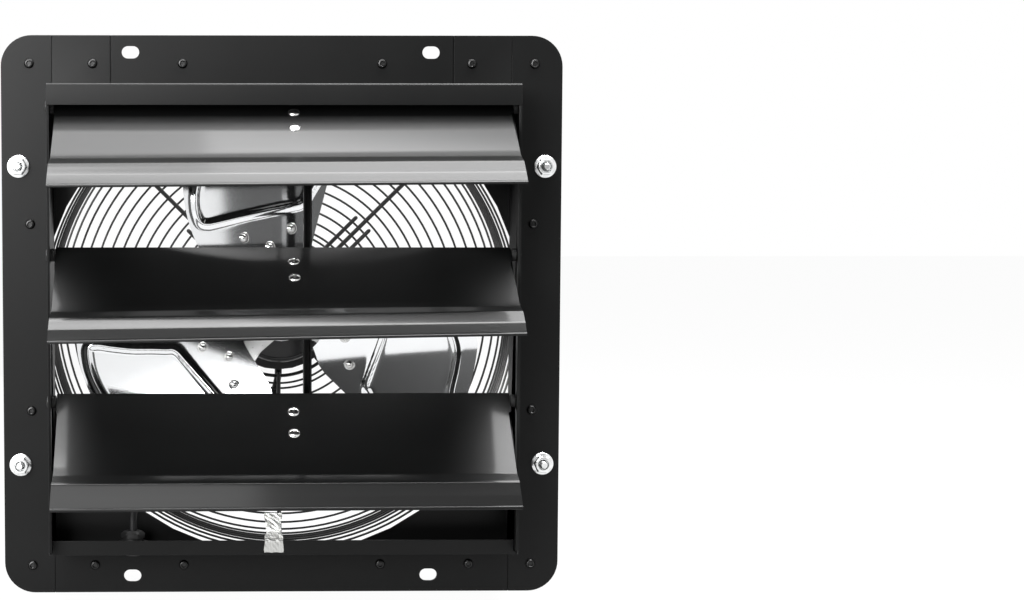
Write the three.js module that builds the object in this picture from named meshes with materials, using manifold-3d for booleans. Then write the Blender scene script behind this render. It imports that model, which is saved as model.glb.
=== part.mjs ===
// Wall exhaust fan with a gravity shutter, in millimetres, +Z up.
// The origin is the centre of the flange on the face that meets the wall.
// The louvers face -Y, the wire guard and the motor are on the +Y side.

import * as THREE from 'three';
import { mergeVertices, mergeGeometries } from 'three/addons/utils/BufferGeometryUtils.js';
import Module from 'manifold-3d';

const wasm = await Module();
wasm.setup();

const radians = Math.PI / 180;

// Clearances
const seatGap = 0.3;
const runningGap = 0.25;
const cutOverrun = 2;
const leastSpreadShare = 0.45;

// Sheet metal
const panelSheet = 1;
const plateSheet = 1.2;
const bendRadius = 1.5;

// Flange and mounting plate
const flangeSize = 400;
const flangeCornerRadius = 22;
const fanHoleBeyondBox = 9;
const slotLength = 12.5;
const slotWidth = 8.8;
const slotXs = [-108, 106];
const slotInset = 12;

// Shutter box
const flangeBorder = 36;
const boxDepth = 52;
const topLipHeight = 15;
const bottomDepth = 36.8;
const bottomHem = 2;
const bottomLipHeight = 8;
const sideHemDepth = 8;
const sideCornerCut = 2.5;
const reliefSlitInset = 42;
const reliefSlitWidth = 0.8;

// Louvers: distances run along the blade from the pivot, heights are square to it
const louverEndGap = 4;
const louverSheet = 1;
const pivotBelowTop = 15.8;
const lowestPitchGap = 3.5;
const pivotSetback = 16;
const panelAbovePivot = 2.5;
const louverBack = 5;
const tipAbovePivot = 7.9;
const lipLength = 27.2;
const lipCrest = [9, 2.1];
const lipFold = [18.6, 0.2];
const lipTipDrop = -1.8;
const lipHemRadius = 1.2;
const louverTilts = [34, 32.8, 43.2];
const earDepth = 5.5;
const earLength = 12;

// Louver pivots
const pivotPinRadius = 1.9;
const pivotPinReach = 4;
const pivotHeadRadius = 4.2;
const pivotHeadHeight = 1.9;
const bushRadius = 4.6;

// Louver brackets and tie bar
const linkArm = 18;
const linkAngle = -20;
const linkX = 17.4;
const bracketSheet = 1.2;
const bracketNear = 6;
const bracketFar = 34;
const bracketLeft = 17.8;
const bracketEye = 4.2;
const bracketRib = 5;
const tiePinRadius = 1.5;
const tiePinHeadRadius = 2.8;
const tiePinHeadHeight = 0.8;
const tieBarWidth = 5.8;
const tieBarWall = 1;
const tieBarFront = 2.8;
const tieBarBack = 7.9;
const tieBarEnd = 5;

// Fan
const bladeTipGap = 22;
const bladeRootRadius = 34;
const bladeSheet = 1.2;
const bladeMiddleY = 25;
const bladeLineAngle = 4;
const bladeSlopeShare = 0.14;
const bladeHollow = 22.8;
const bladeCount = 3;
const hubDiscRadius = 20;
const hubDiscThickness = 3;
const hubDiscY = 23.5;
const armSheet = 2;
const armReach = 68;
const armBlend = 27;
const armFromAngle = -9;
const armToAngle = 31;
const armNeckHalf = 11.3;
const collarRadius = 8;
const collarEnd = 42;
const shaftRadius = 4;
const setScrewRadius = 1.6;
const setScrewHeadRadius = 3;
const setScrewHeadHeight = 3;
const setScrewY = 35;
const setScrewLength = 9;

// Motor
const motorRadius = 37.7;
const motorStart = 45.5;
const motorEnd = 125.5;
const frontShellLength = 44.5;
const motorWall = 1.5;
const motorEdgeRadius = 4;
const rearBossRadius = 10;
const rearBossHeight = 3;
const bearingRadius = 9;
const bearingLength = 7;
const bearingSeatWall = 2;
const statorRadius = 35.5;
const statorBore = 20.5;
const statorLength = 40;
const windingOuterRadius = 33;
const windingInnerRadius = 22;
const windingHeight = 9;
const airGap = 1;
const mountRingRadius = 47;
const mountRingThickness = 2.5;

// Wire guard
const guardBeyondHole = 1.6;
const guardInnerGap = 5.4;
const guardHeight = 92.4;
const ringWireRadius = 0.8;
const ribWireRadius = 1.6;
const sideRingPitch = 7.9;
const rearRingPitch = 8;
const innerRingPitches = [5.7, 3.9];
const guardSideLength = 86;
const ribCount = 8;
const weldShare = 0.78;
const hangerHalfGap = 7;
const hangerLength = 48;
const hangerEnd = 42;
const footWireRadius = 1.5;
const footHalfGap = 4.6;
const footLength = 45;
const footRise = 4;
const guardBoltInset = 12;
const guardBoltBelowTop = 93;
const guardBoltRadius = 2.5;
const guardBoltHeadRadius = 5;
const guardBoltHeadHeight = 3.5;
const washerRadius = 7.6;
const washerThickness = 1.2;
const nutFlangeRadius = 8;
const nutFlangeThickness = 1.5;
const nutRadius = 5.8;
const nutHeight = 5.2;
const boltEnd = 2.6;

// Motor lead, its boot and its gland
const leadRadius = 2.75;
const bootY = 104.5;
const bootRadius = 6;
const bootTipRadius = 4;
const bootLength = 7.5;
const bootStubRadius = 3.6;
const glandX = -107;
const glandY = -14;
const glandRadius = 6.5;
const glandCollarRadius = 9;
const glandCollarHeight = 4.5;
const glandTop = 12;
const glandTail = 4;
const leadSeat = 6;
const leadStraight = 2.3;
const leadBendEnd = 8.3;

// Foil strip over the bottom lip
const foilWidth = 15.5;
const foilX = -6.3;
const foilThickness = 0.5;
const foilDrop = 9;
const foilRise = 15;
const foilLean = 23;

// Numbers of facets
const holeSides = 12;
const roundSides = 16;
const motorSides = 28;
const ringSides = 28;
const wireSides = 4;
const ringWireSides = 3;
const footSides = 5;
const leadSides = 8;

// Places worked out from the sizes above
const flangeHalf = flangeSize / 2;
const boxHalf = flangeHalf - flangeBorder;
const wallInside = boxHalf - panelSheet;
const louverHalf = wallInside - louverEndGap;
const fanHoleRadius = boxHalf + fanHoleBeyondBox;
const bladeTipRadius = fanHoleRadius - bladeTipGap;
const guardBaseRadius = fanHoleRadius + guardBeyondHole;
const guardInnerRadius = mountRingRadius + guardInnerGap;
const guardBoltX = flangeHalf - guardBoltInset;
const guardBoltZ = flangeHalf - guardBoltBelowTop;
const slotZ = flangeHalf - slotInset;
const reliefSlitX = boxHalf - reliefSlitInset;
const motorSplit = motorStart + frontShellLength;
const hangerReach = hangerEnd + hangerLength;
const plateFront = panelSheet + seatGap;
const plateBack = plateFront + plateSheet;
const pivotY = -(boxDepth - pivotSetback);
const louverPitch = (2 * boxHalf - pivotBelowTop - lowestPitchGap) / louverTilts.length;
const pivotZs = louverTilts.map((tilt, index) => boxHalf - pivotBelowTop - index * louverPitch);
const panelLength = louverPitch - tipAbovePivot - lipLength;
const linkY = linkArm * Math.cos(linkAngle * radians);
const linkZ = linkArm * Math.sin(linkAngle * radians);
const guardY = plateBack + seatGap + ringWireRadius;
const bottomTop = -boxHalf - seatGap;

// Colours and finishes
const finish = (color, roughness, metalness) => new THREE.MeshStandardMaterial({ color, roughness, metalness });
const blackPaint = finish(0x2b2d2c, 0.5, 0.3);
const louverPaint = finish(0x3a3c3b, 0.35, 0.4);
const wirePaint = finish(0x232423, 0.45, 0.3);
const motorPaint = finish(0x1f2020, 0.3, 0.3);
const bladeMetal = finish(0xc9cbcc, 0.3, 0.9);
const steel = finish(0xa8aaac, 0.35, 0.9);
const zinc = finish(0xc4c6c2, 0.35, 0.9);
const blackPlastic = finish(0x151515, 0.5, 0);
const copper = finish(0xb06a3a, 0.4, 0.8);
const coreSteel = finish(0x6f7276, 0.5, 0.8);
const leadRubber = finish(0x1b1b1b, 0.6, 0);
const foilMetal = finish(0xa9a9a4, 0.4, 0.8);

// A closed geometry as a solid that can be joined and cut
function solid(geometry) {
  const bare = geometry.clone();
  bare.deleteAttribute('normal');
  bare.deleteAttribute('uv');
  const merged = mergeVertices(bare);
  return new wasm.Manifold(new wasm.Mesh({
    numProp: 3,
    vertProperties: new Float32Array(merged.attributes.position.array),
    triVerts: new Uint32Array(merged.index.array),
  }));
}

function shell(body) {
  const mesh = body.getMesh();
  const geometry = new THREE.BufferGeometry();
  geometry.setAttribute('position', new THREE.BufferAttribute(mesh.vertProperties, 3));
  geometry.setIndex(new THREE.BufferAttribute(mesh.triVerts, 1));
  geometry.computeVertexNormals();
  return geometry;
}

function join(...geometries) {
  return shell(geometries.map(solid).reduce((body, other) => body.add(other)));
}

function cut(base, ...tools) {
  return shell(tools.map(solid).reduce((body, tool) => body.subtract(tool), solid(base)));
}

function common(base, tool) {
  return shell(solid(base).intersect(solid(tool)));
}

// Turns a closed surface right side out
function facingOut(geometry) {
  const places = geometry.attributes.position;
  const corners = geometry.index.array;
  const [a, b, c] = [new THREE.Vector3(), new THREE.Vector3(), new THREE.Vector3()];
  let volume = 0;
  for (let i = 0; i < corners.length; i += 3) {
    a.fromBufferAttribute(places, corners[i]);
    b.fromBufferAttribute(places, corners[i + 1]);
    c.fromBufferAttribute(places, corners[i + 2]);
    volume += a.dot(b.cross(c));
  }
  if (volume < 0) {
    for (let i = 0; i < corners.length; i += 3) {
      [corners[i], corners[i + 1]] = [corners[i + 1], corners[i]];
    }
  }
  return geometry;
}

function block(x0, x1, y0, y1, z0, z1) {
  const geometry = new THREE.BoxGeometry(x1 - x0, y1 - y0, z1 - z0);
  return geometry.translate((x0 + x1) / 2, (y0 + y1) / 2, (z0 + z1) / 2);
}

function rodX(radius, x0, x1, y, z, sides = roundSides) {
  const geometry = new THREE.CylinderGeometry(radius, radius, x1 - x0, sides);
  return geometry.rotateZ(-Math.PI / 2).translate((x0 + x1) / 2, y, z);
}

function rodY(radius, y0, y1, x, z, sides = roundSides) {
  const geometry = new THREE.CylinderGeometry(radius, radius, y1 - y0, sides);
  return geometry.translate(x, (y0 + y1) / 2, z);
}

function rodZ(radius, z0, z1, x, y, sides = roundSides) {
  const geometry = new THREE.CylinderGeometry(radius, radius, z1 - z0, sides);
  return geometry.rotateX(Math.PI / 2).translate(x, y, (z0 + z1) / 2);
}

function outline(points) {
  return new THREE.Shape(points.map(([u, v]) => new THREE.Vector2(u, v)));
}

// An outline drawn in Y and Z, drawn out along X
function extrudeX(shape, x0, x1) {
  const geometry = new THREE.ExtrudeGeometry(shape, { depth: x1 - x0, bevelEnabled: false });
  const turn = new THREE.Matrix4().makeBasis(
    new THREE.Vector3(0, 1, 0), new THREE.Vector3(0, 0, 1), new THREE.Vector3(1, 0, 0));
  return geometry.applyMatrix4(turn).translate(x0, 0, 0);
}

// An outline drawn in X and Z, drawn out along Y
function extrudeY(shape, y0, y1, curveSegments = 6) {
  const geometry = new THREE.ExtrudeGeometry(shape, { depth: y1 - y0, bevelEnabled: false, curveSegments });
  return geometry.rotateX(Math.PI / 2).translate(0, y1, 0);
}

function extrudeZ(shape, z0, z1) {
  const geometry = new THREE.ExtrudeGeometry(shape, { depth: z1 - z0, bevelEnabled: false });
  return geometry.translate(0, 0, z0);
}

// A ring or disc turned about the fan's axis, from radius and Y pairs that close on themselves
function turned(profile, sides = motorSides) {
  const closed = [...profile, profile[0]];
  return facingOut(mergedLathe(closed, sides));
}

function mergedLathe(profile, sides) {
  const lathe = new THREE.LatheGeometry(profile.map(([r, y]) => new THREE.Vector2(r, y)), sides);
  lathe.deleteAttribute('normal');
  lathe.deleteAttribute('uv');
  return mergeVertices(lathe);
}

// Replaces each inner corner of a bent line by an arc
function withBends(points, radius) {
  const steps = 3;
  const line = [points[0]];
  for (let i = 1; i < points.length - 1; i += 1) {
    const corner = new THREE.Vector2(...points[i]);
    const before = new THREE.Vector2(...points[i - 1]).sub(corner);
    const after = new THREE.Vector2(...points[i + 1]).sub(corner);
    const reach = Math.min(radius, before.length() / 2, after.length() / 2);
    const start = corner.clone().addScaledVector(before.normalize(), reach);
    const end = corner.clone().addScaledVector(after.normalize(), reach);
    const bend = new THREE.QuadraticBezierCurve(start, corner, end);
    bend.getPoints(steps).forEach((point) => line.push([point.x, point.y]));
  }
  line.push(points[points.length - 1]);
  return line;
}

// The outline of a sheet of one thickness along a bent line
function sheetOutline(line, thickness) {
  const points = line.map(([u, v]) => new THREE.Vector2(u, v));
  const sides = [[], []];
  points.forEach((point, index) => {
    const back = points[Math.max(index - 1, 0)];
    const next = points[Math.min(index + 1, points.length - 1)];
    const arriving = point.clone().sub(index > 0 ? back : point).normalize();
    const leaving = next.clone().sub(index < points.length - 1 ? point : next).normalize();
    const along = arriving.clone().add(leaving).normalize();
    const straight = index > 0 ? arriving : leaving;
    const spread = thickness / 2 / Math.max(along.dot(straight), leastSpreadShare);
    const square = new THREE.Vector2(-along.y, along.x).multiplyScalar(spread);
    sides[0].push(point.clone().add(square));
    sides[1].push(point.clone().sub(square));
  });
  return new THREE.Shape([...sides[0], ...sides[1].reverse()]);
}

// A round wire along a smooth line through the given points
function wire(points, radius, sides, steps) {
  const path = new THREE.CatmullRomCurve3(points.map(([x, y, z]) => new THREE.Vector3(x, y, z)));
  return wireAlong(path, radius, sides, steps);
}

// A path that keeps to its given points, with a straight run between neighbours
class BentLine extends THREE.Curve {
  constructor(points) {
    super();
    this.points = points.map(([x, y, z]) => new THREE.Vector3(x, y, z));
  }

  getPointAt(share, target = new THREE.Vector3()) {
    const place = share * (this.points.length - 1);
    const index = Math.min(Math.floor(place), this.points.length - 2);
    return target.lerpVectors(this.points[index], this.points[index + 1], place - index);
  }

  getTangentAt(share, target = new THREE.Vector3()) {
    const index = Math.round(share * (this.points.length - 1));
    const before = this.points[Math.max(index - 1, 0)];
    const after = this.points[Math.min(index + 1, this.points.length - 1)];
    return target.subVectors(after, before).normalize();
  }
}

function bentWire(points, radius, sides) {
  return wireAlong(new BentLine(points), radius, sides, points.length - 1);
}

function wireAlong(path, radius, sides, steps) {
  const section = new THREE.Shape();
  for (let i = 0; i < sides; i += 1) {
    const angle = 2 * Math.PI * i / sides;
    const corner = [radius * Math.cos(angle), radius * Math.sin(angle)];
    if (i === 0) section.moveTo(...corner);
    else section.lineTo(...corner);
  }
  return new THREE.ExtrudeGeometry(section, { steps, extrudePath: path, bevelEnabled: false });
}

function slotOutline(x, z) {
  const half = (slotLength - slotWidth) / 2;
  const path = new THREE.Path();
  path.absarc(x + half, z, slotWidth / 2, -Math.PI / 2, Math.PI / 2);
  path.absarc(x - half, z, slotWidth / 2, Math.PI / 2, 3 * Math.PI / 2);
  return path;
}

function circleOutline(x, z, radius) {
  return new THREE.Path().absarc(x, z, radius, 0, 2 * Math.PI);
}

function roundedSquare(size, radius) {
  const straight = size / 2 - radius;
  const shape = new THREE.Shape();
  shape.absarc(straight, straight, radius, 0, Math.PI / 2);
  shape.absarc(-straight, straight, radius, Math.PI / 2, Math.PI);
  shape.absarc(-straight, -straight, radius, Math.PI, 3 * Math.PI / 2);
  shape.absarc(straight, -straight, radius, 3 * Math.PI / 2, 2 * Math.PI);
  return shape;
}

const exhaustFan = new THREE.Group();

function addPart(name, geometry, material, parent = exhaustFan) {
  const mesh = new THREE.Mesh(geometry, material);
  mesh.name = name;
  parent.add(mesh);
}

const sideNames = { '-1': 'left', 1: 'right' };
const levelNames = { '-1': 'lower', 1: 'upper' };
const louverNames = ['top', 'middle', 'bottom'];

// Mounting plate: flat square sheet with the fan hole, the slots and the guard bolt holes
function mountingPlate() {
  const shape = roundedSquare(flangeSize, flangeCornerRadius);
  const fanHole = new THREE.Path();
  const holeCorners = 40;
  for (let i = 0; i < holeCorners; i += 1) {
    const angle = 2 * Math.PI * i / holeCorners;
    const corner = [fanHoleRadius * Math.cos(angle), fanHoleRadius * Math.sin(angle)];
    if (i === 0) fanHole.moveTo(...corner);
    else fanHole.lineTo(...corner);
  }
  shape.holes.push(fanHole);
  for (const x of [-1, 1]) {
    for (const z of [-1, 1]) {
      shape.holes.push(slotOutline(slotXs[(x + 1) / 2], z * slotZ));
      shape.holes.push(circleOutline(x * guardBoltX, z * guardBoltZ, guardBoltRadius + seatGap));
    }
  }
  return extrudeY(shape, plateFront, plateBack);
}

// Side panel: wall with a hemmed front edge and a full-height flange
function sidePanel(side) {
  const wallTop = boxHalf - panelSheet - seatGap;
  const wallOutline = outline([
    [-boxDepth, -boxHalf + sideCornerCut],
    [-boxDepth + sideCornerCut, -boxHalf],
    [panelSheet, -boxHalf],
    [panelSheet, wallTop],
    [-boxDepth, wallTop],
  ]);
  const wall = extrudeX(wallOutline, wallInside, boxHalf);
  const hem = block(wallInside - panelSheet, wallInside + panelSheet / 2, -boxDepth + seatGap,
    -boxDepth + sideHemDepth, -boxHalf + sideCornerCut, wallTop - seatGap);
  const foot = block(boxHalf - panelSheet / 2, boxHalf + panelSheet, 0, panelSheet,
    -boxHalf + seatGap, wallTop - seatGap);
  const plate = extrudeY(roundedSquare(flangeSize, flangeCornerRadius), 0, panelSheet);
  const strip = block(boxHalf, flangeHalf + cutOverrun, -cutOverrun, panelSheet + cutOverrun,
    -flangeHalf - cutOverrun, flangeHalf + cutOverrun);
  const panel = join(common(plate, strip), foot, wall, hem);
  const pivotHoles = pivotZs.map((z) => rodX(pivotPinRadius + runningGap,
    wallInside - panelSheet - cutOverrun, boxHalf + cutOverrun, pivotY, z, holeSides));
  const boltHoles = [-1, 1].map((level) => rodY(guardBoltRadius + seatGap,
    -cutOverrun, panelSheet + cutOverrun, guardBoltX, level * guardBoltZ, holeSides));
  const drilled = cut(panel, ...pivotHoles, ...boltHoles);
  if (side < 0) return cut(mirrored(drilled));
  return drilled;
}

// The left-hand copy of a right-hand piece
function mirrored(geometry) {
  const copy = geometry.clone().scale(-1, 1, 1);
  const corners = copy.index.array;
  for (let i = 0; i < corners.length; i += 3) {
    [corners[i], corners[i + 1]] = [corners[i + 1], corners[i]];
  }
  return copy;
}

function flangeSlots(level) {
  return slotXs.map((x) => extrudeY(new THREE.Shape(slotOutline(x, level * slotZ).getPoints(6)),
    -cutOverrun, panelSheet + cutOverrun));
}

// Top panel: flange, roof and a lip turned down in front of the side walls
function topPanel() {
  const middle = panelSheet / 2;
  const roofZ = boxHalf - middle;
  const lipY = -boxDepth - seatGap - middle;
  const line = withBends([[middle, flangeHalf], [middle, roofZ], [lipY, roofZ], [lipY, boxHalf - topLipHeight]],
    bendRadius);
  const panel = extrudeX(sheetOutline(line, panelSheet), -boxHalf + seatGap, boxHalf - seatGap);
  const slits = [-1, 1].map((side) => block(side * reliefSlitX - reliefSlitWidth / 2,
    side * reliefSlitX + reliefSlitWidth / 2, -cutOverrun, panelSheet + cutOverrun,
    boxHalf + bendRadius, flangeHalf + cutOverrun));
  return cut(panel, ...flangeSlots(1), ...slits);
}

// Bottom panel: flange, a shallower hemmed floor under the side walls and a low lip between them
function bottomPanel() {
  const width = boxHalf - seatGap;
  const flange = block(-width, width, 0, panelSheet, -flangeHalf, bottomTop);
  const floor = block(-width, width, -bottomDepth, panelSheet, bottomTop - bottomHem, bottomTop);
  const lipHalf = wallInside - seatGap;
  const lip = block(-lipHalf, lipHalf, -bottomDepth, -bottomDepth + panelSheet,
    bottomTop - bottomHem / 2, -boxHalf + bottomLipHeight);
  const glandHole = rodZ(glandRadius + seatGap, bottomTop - bottomHem - cutOverrun, bottomTop + cutOverrun,
    glandX, glandY, holeSides);
  return cut(join(flange, floor, lip), ...flangeSlots(-1), glandHole);
}

// Louver: flat blade with a raised lip and a hemmed tip, and an ear at each end that hangs on its pivot.
// It is drawn level, with the pivot at the origin, and its group tilts it.
function louver() {
  const along = ([distance, height]) => [-distance, panelAbovePivot + height];
  const lip = ([distance, height]) => along([panelLength + distance, height]);
  const tip = lip([lipLength, lipTipDrop]);
  const line = withBends([along([-louverBack, 0]), lip([0, 0]), lip(lipCrest), lip(lipFold), tip], bendRadius);
  const blade = extrudeX(sheetOutline(line, louverSheet), -louverHalf, louverHalf);
  const [tipY, tipZ] = tip;
  const hem = rodX(lipHemRadius, -louverHalf + lipHemRadius, louverHalf - lipHemRadius, tipY, tipZ, footSides + 1);
  const earOutline = outline([
    [louverBack, panelAbovePivot],
    [-earLength, panelAbovePivot],
    [-earLength / 2, -earDepth / 2],
    [-earDepth / 2, -earDepth],
    [earDepth / 2, -earDepth],
    [louverBack, -earDepth / 2],
  ]);
  const ears = [[-louverHalf, -louverHalf + louverSheet], [louverHalf - louverSheet, louverHalf]]
    .map(([x0, x1]) => extrudeX(earOutline, x0, x1));
  const holes = [-1, 1].map((side) => rodX(pivotPinRadius + runningGap,
    side * louverHalf - cutOverrun, side * louverHalf + cutOverrun, 0, 0, holeSides));
  return cut(join(blade, hem, ...ears), ...holes);
}

// Louver bracket: a foot riveted under the blade and a leg whose curved slot carries the tie pin
function louverBracket() {
  const footTop = panelAbovePivot - louverSheet / 2 - seatGap;
  const footBottom = footTop - bracketSheet;
  const foot = block(linkX - bracketLeft, linkX + bracketSheet / 2, -bracketFar, -bracketNear, footBottom, footTop);
  const slotAngles = [linkAngle - Math.min(...louverTilts), linkAngle - Math.max(...louverTilts)];
  const eyes = slotAngles.map((angle) => [linkArm * Math.cos(angle * radians), linkArm * Math.sin(angle * radians)]);
  const rim = [];
  const rimSteps = 5;
  for (let i = 0; i <= rimSteps; i += 1) {
    const angle = (60 - 110 * i / rimSteps) * radians;
    rim.push([eyes[0][0] + bracketEye * Math.cos(angle), eyes[0][1] + bracketEye * Math.sin(angle)]);
  }
  for (let i = 0; i <= rimSteps; i += 1) {
    const angle = (-60 - 130 * i / rimSteps) * radians;
    rim.push([eyes[1][0] + bracketEye * Math.cos(angle), eyes[1][1] + bracketEye * Math.sin(angle)]);
  }
  const legOutline = outline([
    [-bracketNear, footTop],
    [-bracketFar, footTop],
    [-bracketFar, footBottom - bracketRib / 2],
    [-bracketNear, footBottom - bracketRib],
    ...rim.reverse(),
  ]);
  const leg = extrudeX(legOutline, linkX - bracketSheet / 2, linkX + bracketSheet / 2);
  const slotHalf = tiePinRadius + seatGap;
  const slotSteps = 4;
  const inner = [];
  const outer = [];
  for (let i = 0; i <= slotSteps; i += 1) {
    const angle = (slotAngles[1] + (slotAngles[0] - slotAngles[1]) * i / slotSteps) * radians;
    inner.push([(linkArm - slotHalf) * Math.cos(angle), (linkArm - slotHalf) * Math.sin(angle)]);
    outer.push([(linkArm + slotHalf) * Math.cos(angle), (linkArm + slotHalf) * Math.sin(angle)]);
  }
  const x0 = linkX - bracketSheet / 2 - cutOverrun;
  const x1 = linkX + bracketSheet / 2 + cutOverrun;
  const slot = extrudeX(outline([...inner, ...outer.reverse()]), x0, x1);
  const slotEnds = eyes.map(([y, z]) => rodX(slotHalf, x0, x1, y, z, holeSides));
  return cut(join(foot, leg), slot, ...slotEnds);
}

// Tie bar: a channel, open towards the louvers, with a pin hole for each bracket
function tieBar() {
  const x0 = linkX - tieBarWidth / 2;
  const x1 = linkX + tieBarWidth / 2;
  const front = pivotY + linkY - tieBarFront;
  const back = pivotY + linkY + tieBarBack;
  const section = outline([
    [x0, front], [x0 + tieBarWall, front], [x0 + tieBarWall, back - tieBarWall],
    [x1 - tieBarWall, back - tieBarWall], [x1 - tieBarWall, front], [x1, front], [x1, back], [x0, back],
  ]);
  const bar = extrudeZ(section, pivotZs[2] + linkZ - tieBarEnd, pivotZs[0] + linkZ + tieBarEnd);
  const holes = pivotZs.map((z) => rodX(tiePinRadius + seatGap, x0 - cutOverrun, x1 + cutOverrun,
    pivotY + linkY, z + linkZ, holeSides));
  return cut(bar, ...holes);
}

function tiePin(pivotZ) {
  const y = pivotY + linkY;
  const z = pivotZ + linkZ;
  const reach = tieBarWidth / 2 + seatGap;
  const outer = reach + tiePinHeadHeight;
  return join(rodX(tiePinRadius, linkX - outer, linkX + outer, y, z, holeSides),
    rodX(tiePinHeadRadius, linkX - outer, linkX - reach, y, z, holeSides),
    rodX(tiePinHeadRadius, linkX + reach, linkX + outer, y, z, holeSides));
}

function pivotPin(side, z) {
  const headStart = boxHalf + seatGap;
  const shank = rodX(pivotPinRadius, louverHalf - pivotPinReach, headStart + pivotHeadHeight / 2, pivotY, z, holeSides);
  const head = rodX(pivotHeadRadius, headStart, headStart + pivotHeadHeight, pivotY, z, holeSides);
  const pin = join(shank, head);
  return side < 0 ? mirrored(pin) : pin;
}

function pivotBush(side, z) {
  const x0 = louverHalf + seatGap;
  const x1 = wallInside - seatGap;
  const bush = cut(rodX(bushRadius, x0, x1, pivotY, z, holeSides),
    rodX(pivotPinRadius + runningGap, x0 - cutOverrun, x1 + cutOverrun, pivotY, z, holeSides));
  return side < 0 ? mirrored(bush) : bush;
}

// Height of the fan blade above the flange plane, at an angle in degrees and a radius. The sheet is rolled:
// it is straight along one line, near the middle of the blade, and slopes and hollows across that line.
function bladeY(angle, radius) {
  const across = radius * Math.sin((bladeLineAngle - angle) * radians);
  return bladeMiddleY + bladeSlopeShare * across - bladeHollow * (across / bladeTipRadius) ** 2;
}

// A curved sheet over a grid of angles and radii, in degrees anticlockwise from the top as seen from the front.
// edges gives the two bounding angles at a radius, height the Y of the sheet's front.
function fanSheet(radii, columns, edges, height, thickness) {
  const places = [];
  const corners = [];
  const rows = radii.length;
  for (const lift of [0, thickness]) {
    for (let i = 0; i < rows; i += 1) {
      for (let j = 0; j <= columns; j += 1) {
        const radius = radii[i];
        const [from, to] = edges(radius);
        const angle = from + (to - from) * j / columns;
        places.push(-radius * Math.sin(angle * radians), height(angle, radius) + lift, radius * Math.cos(angle * radians));
      }
    }
  }
  const layer = rows * (columns + 1);
  const at = (i, j, side) => side * layer + i * (columns + 1) + j;
  const quad = (a, b, c, d) => corners.push(a, b, c, a, c, d);
  for (let i = 0; i < rows - 1; i += 1) {
    for (let j = 0; j < columns; j += 1) {
      quad(at(i, j, 0), at(i, j + 1, 0), at(i + 1, j + 1, 0), at(i + 1, j, 0));
      quad(at(i, j, 1), at(i + 1, j, 1), at(i + 1, j + 1, 1), at(i, j + 1, 1));
    }
  }
  for (let j = 0; j < columns; j += 1) {
    quad(at(0, j, 0), at(0, j, 1), at(0, j + 1, 1), at(0, j + 1, 0));
    quad(at(rows - 1, j, 0), at(rows - 1, j + 1, 0), at(rows - 1, j + 1, 1), at(rows - 1, j, 1));
  }
  for (let i = 0; i < rows - 1; i += 1) {
    quad(at(i, 0, 0), at(i + 1, 0, 0), at(i + 1, 0, 1), at(i, 0, 1));
    quad(at(i, columns, 0), at(i, columns, 1), at(i + 1, columns, 1), at(i + 1, columns, 0));
  }
  const geometry = new THREE.BufferGeometry();
  geometry.setAttribute('position', new THREE.Float32BufferAttribute(places, 3));
  geometry.setIndex(corners);
  return facingOut(geometry);
}

// Blade outline: at each share of the way from root to tip, the angles of its two edges
const bladeEdgeShares = [
  [0, -17, 6],
  [0.06, -21, 35],
  [0.14, -24.4, 49],
  [0.24, -22.9, 53],
  [0.36, -21.2, 51],
  [0.52, -19.9, 45],
  [0.7, -20.1, 38],
  [0.84, -22.1, 32.5],
  [0.94, -24.6, 26],
  [1, -22, 10],
];

const bladeRowShares = [0, 0.02, 0.04, 0.06, 0.1, 0.14, 0.24, 0.36, 0.52, 0.61, 0.7, 0.77, 0.84, 0.89, 0.94, 0.97, 1];

function bladeEdges(radius) {
  const share = (radius - bladeRootRadius) / (bladeTipRadius - bladeRootRadius);
  const next = Math.max(1, bladeEdgeShares.findIndex(([at]) => at >= share));
  const [s0, a0, b0] = bladeEdgeShares[next - 1];
  const [s1, a1, b1] = bladeEdgeShares[next];
  const part = (share - s0) / (s1 - s0);
  return [a0 + (a1 - a0) * part, b0 + (b1 - b0) * part];
}

function fanBlade(turn) {
  const radii = bladeRowShares.map((share) => bladeRootRadius + (bladeTipRadius - bladeRootRadius) * share);
  const sheet = fanSheet(radii, 8, bladeEdges, bladeY, bladeSheet);
  return sheet.rotateY(-turn);
}

// Hub spider: a disc with a collar on the shaft and three arms that lie behind the blades
// An arm starts as a straight strip and widens with its angle further out.
function hubSpider() {
  const behindBlade = bladeSheet + seatGap;
  const armStart = hubDiscRadius / 2;
  const armY = (angle, radius) => {
    const share = THREE.MathUtils.smoothstep(radius, armStart, armBlend);
    const hubY = hubDiscY + (hubDiscThickness - armSheet) / 2;
    return hubY + (bladeY(angle, radius) + behindBlade - hubY) * share;
  };
  const armRows = 9;
  const armRadii = Array.from({ length: armRows }, (_, i) => armStart + (armReach - armStart) * i / (armRows - 1));
  const armMiddle = (armFromAngle + armToAngle) / 2;
  const armEdges = (radius) => {
    const neck = Math.asin(Math.min(1, armNeckHalf / radius)) / radians;
    const spread = Math.max(neck, (armToAngle - armFromAngle) / 2);
    return [armMiddle - spread, armMiddle + spread];
  };
  const arm = fanSheet(armRadii, 5, armEdges, armY, armSheet);
  const arms = Array.from({ length: bladeCount }, (_, i) => arm.clone().rotateY(-2 * Math.PI * i / bladeCount));
  const disc = rodY(hubDiscRadius, hubDiscY, hubDiscY + hubDiscThickness, 0, 0, motorSides);
  const collar = rodY(collarRadius, hubDiscY, collarEnd, 0, 0);
  const bore = rodY(shaftRadius + runningGap, -cutOverrun, collarEnd + cutOverrun, 0, 0);
  const screwHole = rodZ(setScrewRadius + seatGap, -collarRadius - cutOverrun, 0, 0, setScrewY, holeSides);
  return cut(join(disc, collar, ...arms), bore, screwHole);
}

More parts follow.
